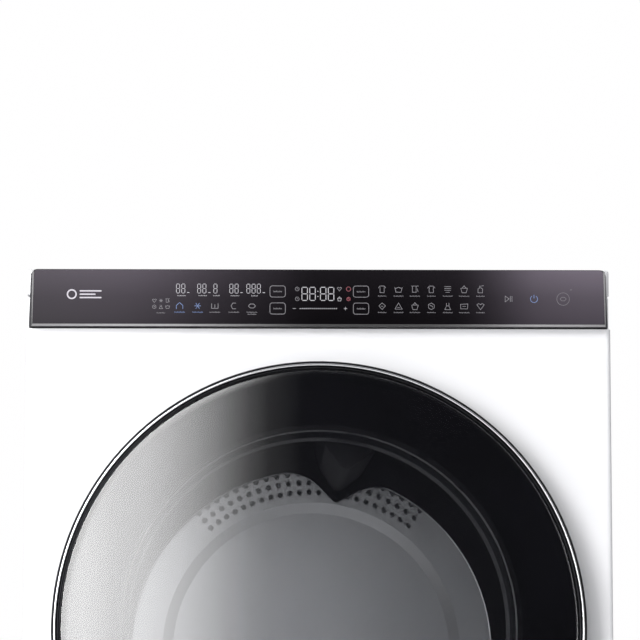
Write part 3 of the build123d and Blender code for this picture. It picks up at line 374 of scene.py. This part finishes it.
WHITE = (0.86, 0.86, 0.875)
MATERIALS = {
    "enamel": enamel("white_enamel", WHITE, 0.24),
    "white": grained("white_moulding", WHITE, 0.34, vary=0.008, Coat_Weight=0.15),
    "galvanised": galvanised(),
    "black": grained("black_moulding", (0.014, 0.014, 0.016), 0.3, depth=0.00001, Specular_IOR_Level=0.3),
    "control_glass": control_glass(),
    "fascia": grained("fascia_moulding", (0.05, 0.048, 0.052), 0.6, depth=0.00003, Specular_IOR_Level=0.03),
    "trim": trim_with_painted_reflection(),
    "border": grained("glass_border", (0.005, 0.005, 0.006), 0.7, depth=0.000004, Specular_IOR_Level=0.05),
    "chrome": plated("bright_chrome", (0.82, 0.82, 0.84), 0.07),
    "dark_chrome": plated("dark_band", (0.02, 0.02, 0.022), 0.3),
    "pane": see_through("tinted_glass", (0.92, 0.92, 0.93), (0.006, 0.006, 0.008), 0.4, 2.4, 0.02),
    "bowl": see_through("clear_bowl", (0.97, 0.98, 0.985), (0.012, 0.012, 0.013), 0.06, 1.6, 0.03),
    "stainless": brushed("stainless_brushed", (0.62, 0.62, 0.63), DRUM_Z),
    "bright_edge": plated("bright_edge", (0.8, 0.8, 0.81), 0.2),
    "dark": grained("dark_moulding", (0.045, 0.045, 0.05), 0.5, grain=900.0, depth=0.0001),
    "drum_black": grained("drum_moulding", (0.004, 0.004, 0.005), 0.6, grain=900.0, depth=0.00006,
                          Specular_IOR_Level=0.2),
    "grey": grained("grey_moulding", (0.30, 0.31, 0.32), 0.48, grain=1100.0, depth=0.0001),
    "tank": grained("tank_moulding", (0.62, 0.64, 0.66), 0.35, grain=1100.0, depth=0.00005),
    "felt": felt(),
    "seal": grained("seal_rubber", (0.03, 0.03, 0.031), 0.62, grain=700.0, depth=0.00008),
    "roller": grained("roller_rubber", (0.09, 0.09, 0.092), 0.7, grain=700.0, depth=0.00012),
    "zinc": plated("zinc_plate", (0.66, 0.67, 0.66), 0.34),
    "casting": grained("motor_casting", (0.42, 0.43, 0.44), 0.5, grain=500.0, depth=0.0002, Metallic=0.9),
    "paint": grained("black_paint", (0.02, 0.02, 0.021), 0.4, grain=260.0, depth=0.00006),
    "copper": plated("copper_tube", (0.76, 0.44, 0.30), 0.3),
    "fins": plated("coil_aluminium", (0.72, 0.73, 0.74), 0.4),
    "board": circuit_board(),
    "lamp": grained("lamp_lens", (0.9, 0.9, 0.86), 0.3, grain=600.0, depth=0.0002),
    "foot": grained("foot_plastic", (0.05, 0.05, 0.05), 0.55, grain=900.0, depth=0.0001),
    # the glow of the white, emblem and grey prints is painted light: these marks are printed, not lit
    "ink_white": lit_print("ink_white", (0.22, 0.21, 0.23), 0.03),
    "ink_emblem": lit_print("ink_emblem", (0.50, 0.47, 0.52), 0.04),
    "ink_display": lit_print("ink_display", (0.42, 0.41, 0.44), 0.12),
    "ink_grey": lit_print("ink_grey", (0.22, 0.21, 0.23), 0.02),
    "ink_faint": lit_print("ink_faint", (0.155, 0.147, 0.163), 0.0),
    "ink_blue": lit_print("ink_blue", (0.13, 0.20, 0.40), 0.14),
    "ink_red": lit_print("ink_red", (0.26, 0.05, 0.07), 0.08),
}

FINISHES = {
    "enamel": ["side_panel_left", "side_panel_right", "front_panel"],
    "white": ["plinth", "worktop", "drawer_front", "service_flap"],
    "galvanised": ["rear_panel", "rear_duct_cover", "rear_bulkhead"],
    "black": ["door_frame", "door_rear_cover"],
    "fascia": ["fascia_housing"],
    "control_glass": ["fascia_glass"],
    "trim": ["fascia_trim"],
    "stainless": ["drum_shell", "drum_back_disc", "moisture_sensor"],
    "drum_black": ["drum_rear_ring", "lifters"],
    "dark": ["front_bulkhead", "lint_filter", "door_lock", "fan_impeller", "filter_lever", "cable_gland"],
    "grey": ["base_tray", "heat_pump_duct", "filter_door", "fan_housing", "control_box",
             "drain_pump", "drain_spigot"],
    "tank": ["water_tank"],
    "felt": ["drum_felts"],
    "seal": ["door_seal", "drive_belt"],
    "roller": ["roller_left", "roller_right", "idler_pulley"],
    "zinc": ["rear_screws", "hinge_bracket", "hinge_leaf", "door_striker", "roller_pins", "motor_shaft",
             "idler_arm"],
    "casting": ["motor"],
    "paint": ["compressor"],
    "copper": ["refrigerant_pipes"],
    "fins": ["heat_exchangers"],
    "board": ["display_board"],
    "lamp": ["drum_lamp"],
    "foot": ["foot_front_left", "foot_front_right", "foot_rear_left", "foot_rear_right"],
}


def dress_frame():
    """Gives each CAD node its material."""
    for finish, names in FINISHES.items():
        for name in names:
            slots = nodes[name].data.materials
            slots.clear()
            slots.append(MATERIALS[finish])


# ---- door ---------------------------------------------------------------------------------
def door_glass():
    """Domed pane with a ground edge, on the same sphere as the frame's."""
    thick, edge, rings = 4 * MM, 0.8 * MM, 36
    dome = glass_high.y - glass_low.y - thick
    sphere = (GLASS_R**2 + dome**2) / (2 * dome)

    def face(r, depth):
        return CROWN_Y + sphere - sqrt((sphere - depth) ** 2 - r**2)

    radii = [(GLASS_R - edge) * i / rings for i in range(rings + 1)]
    front = [(r, face(r, 0.0)) for r in radii]
    rim = arc((GLASS_R - edge, front[-1][1] + edge), edge, -90, 0, 5)[1:]
    back = [(r, face(r, thick)) for r in reversed(radii)]
    profile = front + rim + [(GLASS_R, back[0][1] - 0.2 * MM)] + back
    add_piece("door_glass_pane", *lathe(profile, DOOR_Z), MATERIALS["pane"], "door", "tinted_glass",
              ["door_glass"])

    # black print behind the rim of the pane
    inner, outer, gap, film = 203 * MM, GLASS_R - 0.6 * MM, 0.15 * MM, 0.35 * MM
    radii = [inner + (outer - inner) * i / 12 for i in range(13)]
    profile = [(r, face(r, thick) + gap) for r in radii]
    profile += [(r, face(r, thick) + gap + film) for r in reversed(radii)]
    add_piece("door_glass_border", *lathe(profile, DOOR_Z), MATERIALS["border"], "door", "black_moulding")


def door_rings():
    """Black outer edge, bright bead and the dark stepped band inside it."""
    bead_out, bead_r = RING_R - 1.0 * MM, 1.25 * MM
    bead_in = bead_out - 2 * bead_r
    rear = RING_REAR_Y
    crest = arc((bead_out - bead_r, RING_FRONT_Y + bead_r), bead_r, 0, -180, 13)
    profile = [(bead_in, rear), (bead_out, rear), *crest]
    add_piece("door_bead", *lathe(profile, DOOR_Z), MATERIALS["chrome"], "door", "bright_trim",
              ["door_ring"])

    front, bevel = RING_FRONT_Y + 1.1 * MM, 0.3 * MM
    profile = [
        (bead_out, rear),
        (RING_R, rear),
        (RING_R, front + bevel),
        (RING_R - bevel, front),
        (bead_out, front),
    ]
    add_piece("door_edge", *lathe(profile, DOOR_Z), MATERIALS["border"], "door", "black_moulding")

    inner = GLASS_R + 0.25 * MM
    top = RING_FRONT_Y + 1.9 * MM
    profile = [
        (inner, rear),
        (bead_in, rear),
        (bead_in, top),
        (bead_in - 0.7 * MM, top + 1.1 * MM),
        *arc((bead_in - 1.8 * MM, top + 1.6 * MM), 0.9 * MM, -20, -160, 7),
        (bead_in - 3.1 * MM, top + 1.9 * MM),
        (inner + 0.5 * MM, top + 1.7 * MM),
        (inner, top + 2.2 * MM),
    ]
    add_piece("door_band", *lathe(profile, DOOR_Z), MATERIALS["dark_chrome"], "door", "bright_trim")


def door_bowl():
    """Clear bowl with rounded shoulder and floor edges."""
    wall, flange = 4 * MM, 5.6 * MM
    rear, front = bowl_high.y, bowl_low.y
    foot_r, neck_r = 166 * MM, 187 * MM
    outer = [(0.0, rear), (foot_r - 6 * MM, rear)]
    outer += arc((foot_r - 5 * MM, rear - 5 * MM), 5 * MM, 90, 25, 7)
    outer += [(neck_r, front + flange), (BOWL_R - 1 * MM, front + flange)]
    outer += [(BOWL_R, front + flange - 1 * MM), (BOWL_R, front + 1 * MM), (BOWL_R - 1 * MM, front)]
    inner = [(neck_r - 3 * MM, front)]
    inner += arc((foot_r - 8 * MM, rear - wall - 4 * MM), 4 * MM, 25, 90, 6)
    inner += [(0.0, rear - wall)]
    add_piece("door_bowl_clear", *lathe(outer + inner, DOOR_Z, 192), MATERIALS["bowl"], "door", "clear_bowl",
              ["door_bowl"])


# ---- drum ---------------------------------------------------------------------------------
def lobed_edge():
    """Points along the inner edge of the drum's rear ring, on its front face, in order round the axis."""
    limit = (shell_high.x - shell_low.x) / 2 * 0.9
    found = {}
    for vertex in nodes["drum_rear_ring"].data.vertices:
        x, y, z = vertex.co
        if abs(y - LOBES_Y) < 1e-5 and hypot(x, z - DRUM_Z) < limit:
            found[round(x, 5), round(z, 5)] = Vector((x, y, z))
    return sorted(found.values(), key=lambda p: atan2(p.z - DRUM_Z, p.x))


def drum_bead():
    """Bright rolled edge along the lobed opening of the rear ring."""
    radius = 0.9 * MM
    path = [p + Vector((0, radius * 0.3, 0)) for p in lobed_edge()]
    add_piece("drum_ring_edge", *tube(path, radius), MATERIALS["bright_edge"], "drum", "stainless")


def hole_rims():
    """Rolled rims of the air holes in the upper sector of the back disc."""
    rows = [186 * MM, 197.4 * MM, 208.2 * MM, 219 * MM]
    pitch, low, high, margin = 3.5, 48.5, 133.0, 4.0  # degrees round the axis
    count = int((high - low - margin) / pitch)
    start = (low + high) / 2 - pitch * (count - 1) / 2
    rim, wire, sides, steps = 2.9 * MM, 0.5 * MM, 8, 20
    face_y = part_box("drum_back_disc")[0].y + 2.5 * MM
    circle = [2 * pi * i / steps for i in range(steps)]
    verts, faces = [], []
    for row in rows:
        for k in range(count):
            turn = radians(start + pitch * k)
            x, z = row * cos(turn), DRUM_Z + row * sin(turn)
            loop = [Vector((x + rim * cos(a), face_y, z + rim * sin(a))) for a in circle]
            ring_verts, ring_faces = tube(loop, wire, sides)
            base = len(verts)
            verts += ring_verts
            faces += [tuple(base + v for v in face) for face in ring_faces]
    add_piece("air_hole_rims", verts, faces, MATERIALS["bright_edge"], "root", "stainless")


# ---- control panel graphics ---------------------------------------------------------------
class Print:
    """Raised printing on the front of the control glass, gathered into one mesh."""

    height = 0.06 * MM
    weight = 0.7  # share of the nominal line width that is printed

    def __init__(self):
        self.verts = []
        self.faces = []

    def stroke(self, points, width=0.5, closed=False):
        """A line of that width, in millimetres, along points of (x, z) in metres."""
        half = width * self.weight * MM / 2
        points = [Vector(p) for p in points]
        count = len(points)
        sides = []
        for i, point in enumerate(points):
            before = points[i] - points[i - 1] if closed or i else points[1] - points[0]
            after = points[(i + 1) % count] - point if closed or i < count - 1 else before
            before, after = before.normalized(), after.normalized()
            normal = Vector((-(before + after).y, (before + after).x)).normalized()
            reach = half / max(0.5, normal.dot(Vector((-before.y, before.x))))
            sides.append((point + normal * reach, point - normal * reach))
        base = len(self.verts)
        for left, right in sides:
            for p in (left, right):
                self.verts.append((p.x, PANE_Y - self.height, p.y))
                self.verts.append((p.x, PANE_Y, p.y))
        loops = count if closed else count - 1
        for i in range(loops):
            a, b = base + 4 * i, base + 4 * ((i + 1) % count)
            self.faces += [(a, b, b + 2, a + 2), (a + 1, a + 3, b + 3, b + 1), (a, a + 1, b + 1, b),
                           (a + 2, b + 2, b + 3, a + 3)]
        if not closed:
            a, b = base, base + 4 * (count - 1)
            self.faces += [(a, a + 2, a + 3, a + 1), (b, b + 1, b + 3, b + 2)]

    def bar(self, x, z, length, thick):
        """A horizontal bar centred on x, z; length and thick in millimetres."""
        half = length * MM / 2
        self.stroke([(x - half, z), (x + half, z)], thick)

    def ring(self, x, z, radius, width=0.5, start=0, end=360):
        """A circle or arc of that radius in millimetres."""
        whole = end - start == 360
        steps = max(6, int(abs(end - start) / 15))
        points = arc((x, z), radius * MM, start, end, steps + 1)
        self.stroke(points[:-1] if whole else points, width, whole)

    def keycap(self, x, z, wide, high, corner=2.0, width=0.5):
        """A rounded rectangle outline; sizes in millimetres."""
        a, b, r = (wide / 2 - corner) * MM, (high / 2 - corner) * MM, corner * MM
        points = []
        for sx, sz, start in ((1, 1, 0), (-1, 1, 90), (-1, -1, 180), (1, -1, 270)):
            points += arc((x + sx * a, z + sz * b), r, start, start + 90, 5)
        self.stroke(points, width, True)

    def label(self, x, z, length, high=1.1):
        """A row of small blocks that stands for a caption, with no lettering in it."""
        block, gap = 0.62, 0.36
        count = max(2, round(length / (block + gap)))
        first = x - (count - 1) * (block + gap) * MM / 2
        for i in range(count):
            tall = high if i % 3 == 0 else high * 0.7
            at = first + i * (block + gap) * MM
            foot = z - high * MM / 2
            self.stroke([(at, foot), (at, foot + tall * MM)], block)

    def figure(self, x, z, size, strokes, width=0.5):
        """An icon given as open strokes in a square that runs from -1 to 1 each way."""
        for points in strokes:
            self.stroke([(x + px * size * MM / 2, z + pz * size * MM / 2) for px, pz in points], width)

    def digit(self, x, z, wide, high, lit="abcdefg", width=0.6):
        """One seven-segment digit centred on x, z; sizes in millimetres."""
        a, b = wide * MM / 2, high * MM / 2
        gap = width * MM * 0.55
        ends = {
            "a": ((-a + gap, b), (a - gap, b)),
            "b": ((a, b - gap), (a, gap)),
            "c": ((a, -gap), (a, -b + gap)),
            "d": ((-a + gap, -b), (a - gap, -b)),
            "e": ((-a, -gap), (-a, -b + gap)),
            "f": ((-a, b - gap), (-a, gap)),
            "g": ((-a + gap, 0), (a - gap, 0)),
        }
        for name in lit:
            self.stroke([(x + px, z + pz) for px, pz in ends[name]], width)

    def build(self, name, material):
        add_piece(name, self.verts, self.faces, material, "root", "control_glass", sharp=30)


# Each icon is a list of strokes, in a square that runs from -1 to 1 each way.
ICONS = {
    "shirt": [[(-0.9, 0.3), (-0.5, 0.8), (0.5, 0.8), (0.9, 0.3)],
              [(-0.5, 0.5), (-0.5, -0.8), (0.5, -0.8), (0.5, 0.5)]],
    "basin": [[(-0.9, 0.5), (-0.6, -0.7), (0.6, -0.7), (0.9, 0.5)], [(-0.7, 0.2), (0, 0.5), (0.7, 0.2)]],
    "towel": [[(-0.9, 0.8), (0.9, 0.8)], [(-0.6, 0.8), (-0.6, -0.7), (0.3, -0.7), (0.3, 0.8)],
              [(0.5, 0.2), (0.8, -0.6)]],
    "stack": [[(-0.8, 0.7), (0.8, 0.7)], [(-0.8, 0.25), (0.8, 0.25)], [(-0.8, -0.2), (0.8, -0.2)],
              [(-0.5, -0.7), (0.5, -0.7)]],
    "bottle": [[(-0.2, 0.9), (-0.2, 0.4), (-0.6, 0.1), (-0.6, -0.8),
                (0.5, -0.8), (0.5, 0.1), (0.1, 0.4), (0.1, 0.9)],
               [(0.3, 0.9), (0.8, 0.9)]],
    "leaf": [[(-0.8, 0.1), (0, 0.8), (0.8, 0.1), (0, -0.8), (-0.8, 0.1)], [(-0.3, 0.0), (0.3, 0.0)]],
    "triangle": [[(-0.9, -0.7), (0, 0.8), (0.9, -0.7), (-0.9, -0.7)], [(-0.3, -0.3), (0.3, -0.3)]],
    "basket": [[(-0.8, 0.3), (0.8, 0.3), (0.5, -0.8), (-0.5, -0.8), (-0.8, 0.3)],
               [(-0.5, 0.3), (0, 0.9), (0.5, 0.3)]],
    "ball": [[(-0.7, 0.4), (0, 0.8), (0.7, 0.4), (0.7, -0.4), (0, -0.8), (-0.7, -0.4), (-0.7, 0.4)],
             [(-0.4, 0.2), (0.1, 0.1), (0.4, -0.3)]],
    "dress": [[(-0.3, 0.8), (-0.3, 0.1), (-0.7, -0.8), (0.7, -0.8), (0.3, 0.1), (0.3, 0.8)],
              [(-0.3, 0.1), (0.3, 0.1)]],
    "pillow": [[(-0.9, 0.5), (0.9, 0.6), (0.8, -0.6), (-0.8, -0.6), (-0.9, 0.5)], [(-0.4, 0.0), (0.4, 0.0)]],
    "wave": [[(-0.9, 0.4), (-0.4, 0.7), (0.0, 0.4), (0.4, 0.7), (0.9, 0.4), (0, -0.8), (-0.9, 0.4)]],
    "house": [[(-0.8, -0.8), (-0.8, 0.1), (0, 0.8), (0.8, 0.1), (0.8, -0.8)]],
    "cross": [[(-0.8, 0), (0.8, 0)], [(-0.45, -0.7), (0.45, 0.7)], [(-0.45, 0.7), (0.45, -0.7)]],
    "comb": [[(-0.8, 0.6), (-0.8, -0.6), (0.8, -0.6), (0.8, 0.6)], [(0, -0.6), (0, 0.4)]],
    "moon": [[(0.5, 0.7), (-0.3, 0.7), (-0.7, 0), (-0.3, -0.7), (0.5, -0.7)]],
    "eye": [[(-0.9, 0), (-0.4, 0.5), (0.4, 0.5), (0.9, 0), (0.4, -0.5), (-0.4, -0.5), (-0.9, 0)]],
}


def control_graphics():
    """Everything that is printed on or lit behind the control glass, row by row from left to right."""
    emblem, white, lit, grey, faint, blue, red = (Print() for _ in range(7))
    upper, lower = PANE_Z + 8.0 * MM, PANE_Z - 9.3 * MM
    upper_label, lower_label = PANE_Z + 1.2 * MM, PANE_Z - 15.6 * MM
    middle = PANE_Z - 1.6 * MM

    # emblem: a ring and three bars
    emblem_x, emblem_z = -236.5 * MM, PANE_Z + 2.4 * MM
    emblem.ring(emblem_x - 14 * MM, emblem_z, 4.4, 2.0)
    longest = 22.0
    for i, length in enumerate((longest, 16.0, longest)):
        shift = (length - longest) / 2 * MM
        emblem.bar(emblem_x + 5 * MM + shift, emblem_z + (1 - i) * 3.4 * MM, length, 2.0)

    # cluster of six small symbols
    cluster_x, cluster = -160.2 * MM, ["wave", "cross", "towel", "ball", "dress", "basin"]
    for i, name in enumerate(cluster):
        row, column = divmod(i, 3)
        spot = (cluster_x + (column - 1) * 6.7 * MM, PANE_Z - (4.0 + 6.3 * row) * MM)
        white.figure(*spot, 4.8, ICONS[name])
    white.label(cluster_x, PANE_Z - 16.4 * MM, 9)

    # readouts, each with its middle, its count of digits and its caption's length
    readouts = [(-139.3, 2, 9), (-117.9, 2, 9), (-104.1, 1, 7), (-85.3, 2, 9), (-65.4, 3, 7)]
    for x, digits, length in readouts:
        for k in range(digits):
            at = (x - 1.0 + (k - (digits - 1) / 2) * 5.3) * MM
            lit.digit(at, PANE_Z + 8.4 * MM, 3.3, 9.2, width=0.75)
        if digits > 1:
            lit.bar((x + 2.65 * digits + 1.4) * MM, PANE_Z + 4.3 * MM, 2.2, 0.9)
        lit.label(x * MM, PANE_Z + 1.2 * MM, length)

    seconds = [(-141.3, "house", blue), (-123.0, "cross", blue), (-105.6, "comb", white),
               (-86.3, "moon", white), (-68.0, "eye", white)]
    for x, name, ink in seconds:
        ink.figure(x * MM, lower, 8.2, ICONS[name], 0.7)
        ink.label(x * MM, lower_label, 11)
    white.label(-68.0 * MM, lower_label - 2.0 * MM, 9)

    # two outlined keys on each side of the clock
    for x in (-42.0, 42.6):
        for z in (PANE_Z + 5.6 * MM, PANE_Z - 11.8 * MM):
            white.keycap(x * MM, z, 15.6, 11.4, 2.4, 0.7)
            white.label(x * MM, z, 9, 1.5)

    # clock with the small marks beside it
    for z in (PANE_Z + 8.2 * MM, PANE_Z - 2.0 * MM):
        grey.ring(-22.1 * MM, z, 1.9, 0.55)
        grey.stroke([(-22.1 * MM, z + 1.1 * MM), (-22.1 * MM, z), (-21.2 * MM, z)], 0.45)
    for at in (-14.6, -6.6, 4.2, 12.2):
        lit.digit(at * MM, PANE_Z + 3.2 * MM, 5.6, 13.4, width=1.05)
    for dz in (-2.6, 2.6):
        lit.bar(-1.2 * MM, PANE_Z + (3.2 + dz) * MM, 1.1, 1.1)
    grey.figure(20.7 * MM, PANE_Z + 8.2 * MM, 5.0, ICONS["wave"], 0.6)
    lit.figure(20.7 * MM, PANE_Z - 2.0 * MM, 5.0, ICONS["basket"], 0.6)
    red.ring(29.9 * MM, PANE_Z + 8.2 * MM, 2.2, 0.7)
    red.figure(29.9 * MM, PANE_Z - 2.0 * MM, 4.6, ICONS["ball"], 0.7)

    # slider between a minus and a plus
    slider = PANE_Z - 11.8 * MM
    lit.bar(-25.2 * MM, slider, 3.2, 0.6)
    for k in range(19):
        lit.bar((-19.1 + 2.04 * k) * MM, slider, 1.0, 1.3)
    lit.bar(26.8 * MM, slider, 3.2, 0.6)
    lit.stroke([(26.8 * MM, slider - 1.6 * MM), (26.8 * MM, slider + 1.6 * MM)], 0.6)

    # programme symbols
    top_row = ["shirt", "basin", "towel", "shirt", "stack", "basket", "bottle"]
    low_row = ["leaf", "triangle", "basket", "ball", "dress", "pillow", "wave"]
    for row, icon_z, label_z in ((top_row, upper, upper_label), (low_row, lower, lower_label)):
        for k, name in enumerate(row):
            x = (64.0 + 16.65 * k) * MM
            white.figure(x, icon_z, 8.4, ICONS[name], 0.6)
            white.label(x, label_z, 9 + k % 3)

    # start and pause, power, and a faint badge
    play_x = 192.4 * MM
    white.stroke([(play_x - 3.4 * MM, middle + 3.0 * MM), (play_x - 3.4 * MM, middle - 3.0 * MM),
                  (play_x + 0.6 * MM, middle)], 0.7, True)
    for dx in (1.8, 3.5):
        white.stroke([(play_x + dx * MM, middle - 2.9 * MM), (play_x + dx * MM, middle + 2.9 * MM)], 0.7)
    power_x = 218.3 * MM
    blue.ring(power_x, middle, 3.6, 0.8, 125, 415)
    blue.stroke([(power_x, middle + 0.6 * MM), (power_x, middle + 4.2 * MM)], 0.8)

    remote_x = 247.9 * MM
    faint.ring(remote_x, middle, 6.4, 0.7)
    faint.figure(remote_x, middle, 7.0, ICONS["eye"], 0.7)
    faint.bar(256.0 * MM, PANE_Z + 7.8 * MM, 2.0, 1.0)

    for marks, name, ink in (
        (emblem, "panel_emblem", "ink_emblem"),
        (white, "panel_print_white", "ink_white"),
        (lit, "panel_display_lit", "ink_display"),
        (grey, "panel_print_grey", "ink_grey"),
        (faint, "panel_print_faint", "ink_faint"),
        (blue, "panel_marks_blue", "ink_blue"),
        (red, "panel_marks_red", "ink_red"),
    ):
        marks.build(name, MATERIALS[ink])


# ---- camera, light and floor --------------------------------------------------------------
def point_at(thing, target):
    """Turns a camera or a light so that it looks at target, with its top up."""
    thing.rotation_euler = (Vector(target) - thing.location).to_track_quat("-Z", "Y").to_euler()


def camera():
    """Low long-lens view from straight ahead, a touch to the left."""
    data = bpy.data.cameras.new("camera")
    data.lens, data.sensor_width = 178.0, 36.0
    made = new_object("camera", data)
    made.location = (-0.055, -3.481, 0.443)
    point_at(made, (0.0012, -0.281, 0.797))
    data.clip_start, data.clip_end = 0.1, 200.0
    bpy.context.scene.camera = made


def area_light(name, place, target, wide, high, watts, glossy=True):
    """A soft rectangular light that the camera doesn't see; glossy says whether reflections show it."""
    data = bpy.data.lights.new(name, "AREA")
    data.shape, data.size, data.size_y, data.energy = "RECTANGLE", wide, high, watts
    made = new_object(name, data)
    made.location = place
    point_at(made, target)
    made.visible_camera = False
    made.visible_glossy = glossy


def gradient_card():
    """Softbox behind the camera, seen only as a reflection: bright at its left, black by its right edge."""
    wide, high, fade = 2.6, 5.0, 1.2
    strength = 8.6
    right_x, y, middle_z = 0.02, -6.4, 1.2
    left_x = right_x - wide
    corners = [(left_x, y, middle_z - high / 2), (right_x, y, middle_z - high / 2),
               (right_x, y, middle_z + high / 2), (left_x, y, middle_z + high / 2)]
    mesh = bpy.data.meshes.new("gradient_card")
    mesh.from_pydata(corners, [], [(0, 3, 2, 1)])
    card = new_object("gradient_card", mesh)
    made = Shader("card_light")
    along = made.node("SeparateXYZ", {0: made.place}).outputs[0]
    share = made.spread(along, 0.0, 1.0, right_x, right_x - fade)
    levels = [(0.0, 0.0), (0.16, 0.025), (0.25, 0.08), (0.34, 0.18), (0.44, 0.33),
              (0.62, 0.60), (0.72, 0.74), (0.85, 0.83), (1.0, 1.0)]
    power = made.math("MULTIPLY", made.ramp(share, [(at, (level,) * 3) for at, level in levels]), strength)
    glow = made.node("Emission", {"Strength": power})
    made.tree.links.new(glow.outputs[0], made.tree.nodes["Material Output"].inputs["Surface"])
    mesh.materials.append(made.material)
    card.visible_camera = False
    card.visible_shadow = False
    card.visible_diffuse = False


def world():
    """White to the camera; to light and reflections a studio, dark straight ahead and dimmer to the right."""
    made = bpy.data.worlds.new("studio")
    made.use_nodes = True
    bpy.context.scene.world = made
    tree = made.node_tree
    tree.nodes.clear()

    direction = add_node(tree, "TexCoord").outputs["Generated"]
    split = add_node(tree, "SeparateXYZ", {0: direction})
    ahead = {"Value": split.outputs[1], "From Min": -0.93, "From Max": -0.6, "To Min": 0.02, "To Max": 1.0}
    dark_ahead = add_node(tree, "MapRange", ahead, interpolation_type="SMOOTHSTEP").outputs["Result"]
    sideways = {"Value": split.outputs[0], "From Min": -1.0, "From Max": 1.0, "To Min": 0.9, "To Max": 0.3}
    dimmed = add_node(tree, "MapRange", sideways).outputs["Result"]
    level = add_node(tree, "Math", {0: dark_ahead, 1: dimmed}, operation="MULTIPLY")
    studio = add_node(tree, "Background", {"Color": (0.97, 0.98, 1.0, 1.0), "Strength": level.outputs[0]})
    backdrop = add_node(tree, "Background", {"Color": (1.0, 0.997, 1.0, 1.0), "Strength": 1.0})
    seen = add_node(tree, "LightPath").outputs["Is Camera Ray"]
    mixed = add_node(tree, "MixShader", {0: seen, 1: studio.outputs[0], 2: backdrop.outputs[0]})
    output = add_node(tree, "OutputWorld")
    tree.links.new(mixed.outputs[0], output.inputs["Surface"])


def floor():
    """Wide pale floor."""
    reach = 30.0
    mesh = bpy.data.meshes.new("floor")
    corners = [(-reach, -reach, 0), (reach, -reach, 0), (reach, reach, 0), (-reach, reach, 0)]
    mesh.from_pydata(corners, [], [(0, 1, 2, 3)])
    ground = new_object("floor", mesh)
    mesh.materials.append(grained("pale_floor", (0.82, 0.82, 0.83), 0.6, grain=90.0, vary=0.01))


def lighting():
    """Key and fills from the front, and two small lamps that show the drum's back wall through the glass."""
    area_light("key_left", (-2.0, -3.5, 1.5), (0, -0.3, 0.55), 1.4, 2.2, 108.0)
    area_light("front_fill", (-0.9, -3.6, 2.8), (0, -0.3, 0.5), 1.8, 1.4, 46.0, glossy=False)
    area_light("right_fill", (2.8, -3.0, 1.3), (0, -0.3, 0.6), 1.6, 2.0, 5.0, glossy=False)
    glow_place = (-0.1, shell_low.y + 15 * MM, DRUM_Z + 60 * MM)
    area_light("drum_glow", glow_place, (-0.02, DISC_Y, DRUM_Z + 80 * MM), 0.30, 0.30, 0.6)
    fill_place = (0.0, DISC_Y - 90 * MM, DRUM_Z - 60 * MM)
    area_light("drum_fill", fill_place, (0.0, DISC_Y, DRUM_Z + 165 * MM), 0.24, 0.12, 0.12)


dress_frame()
door_glass()
door_rings()
door_bowl()
drum_bead()
hole_rims()
control_graphics()
floor()
world()
lighting()
gradient_card()
camera()
bpy.context.scene.view_settings.view_transform = "Standard"
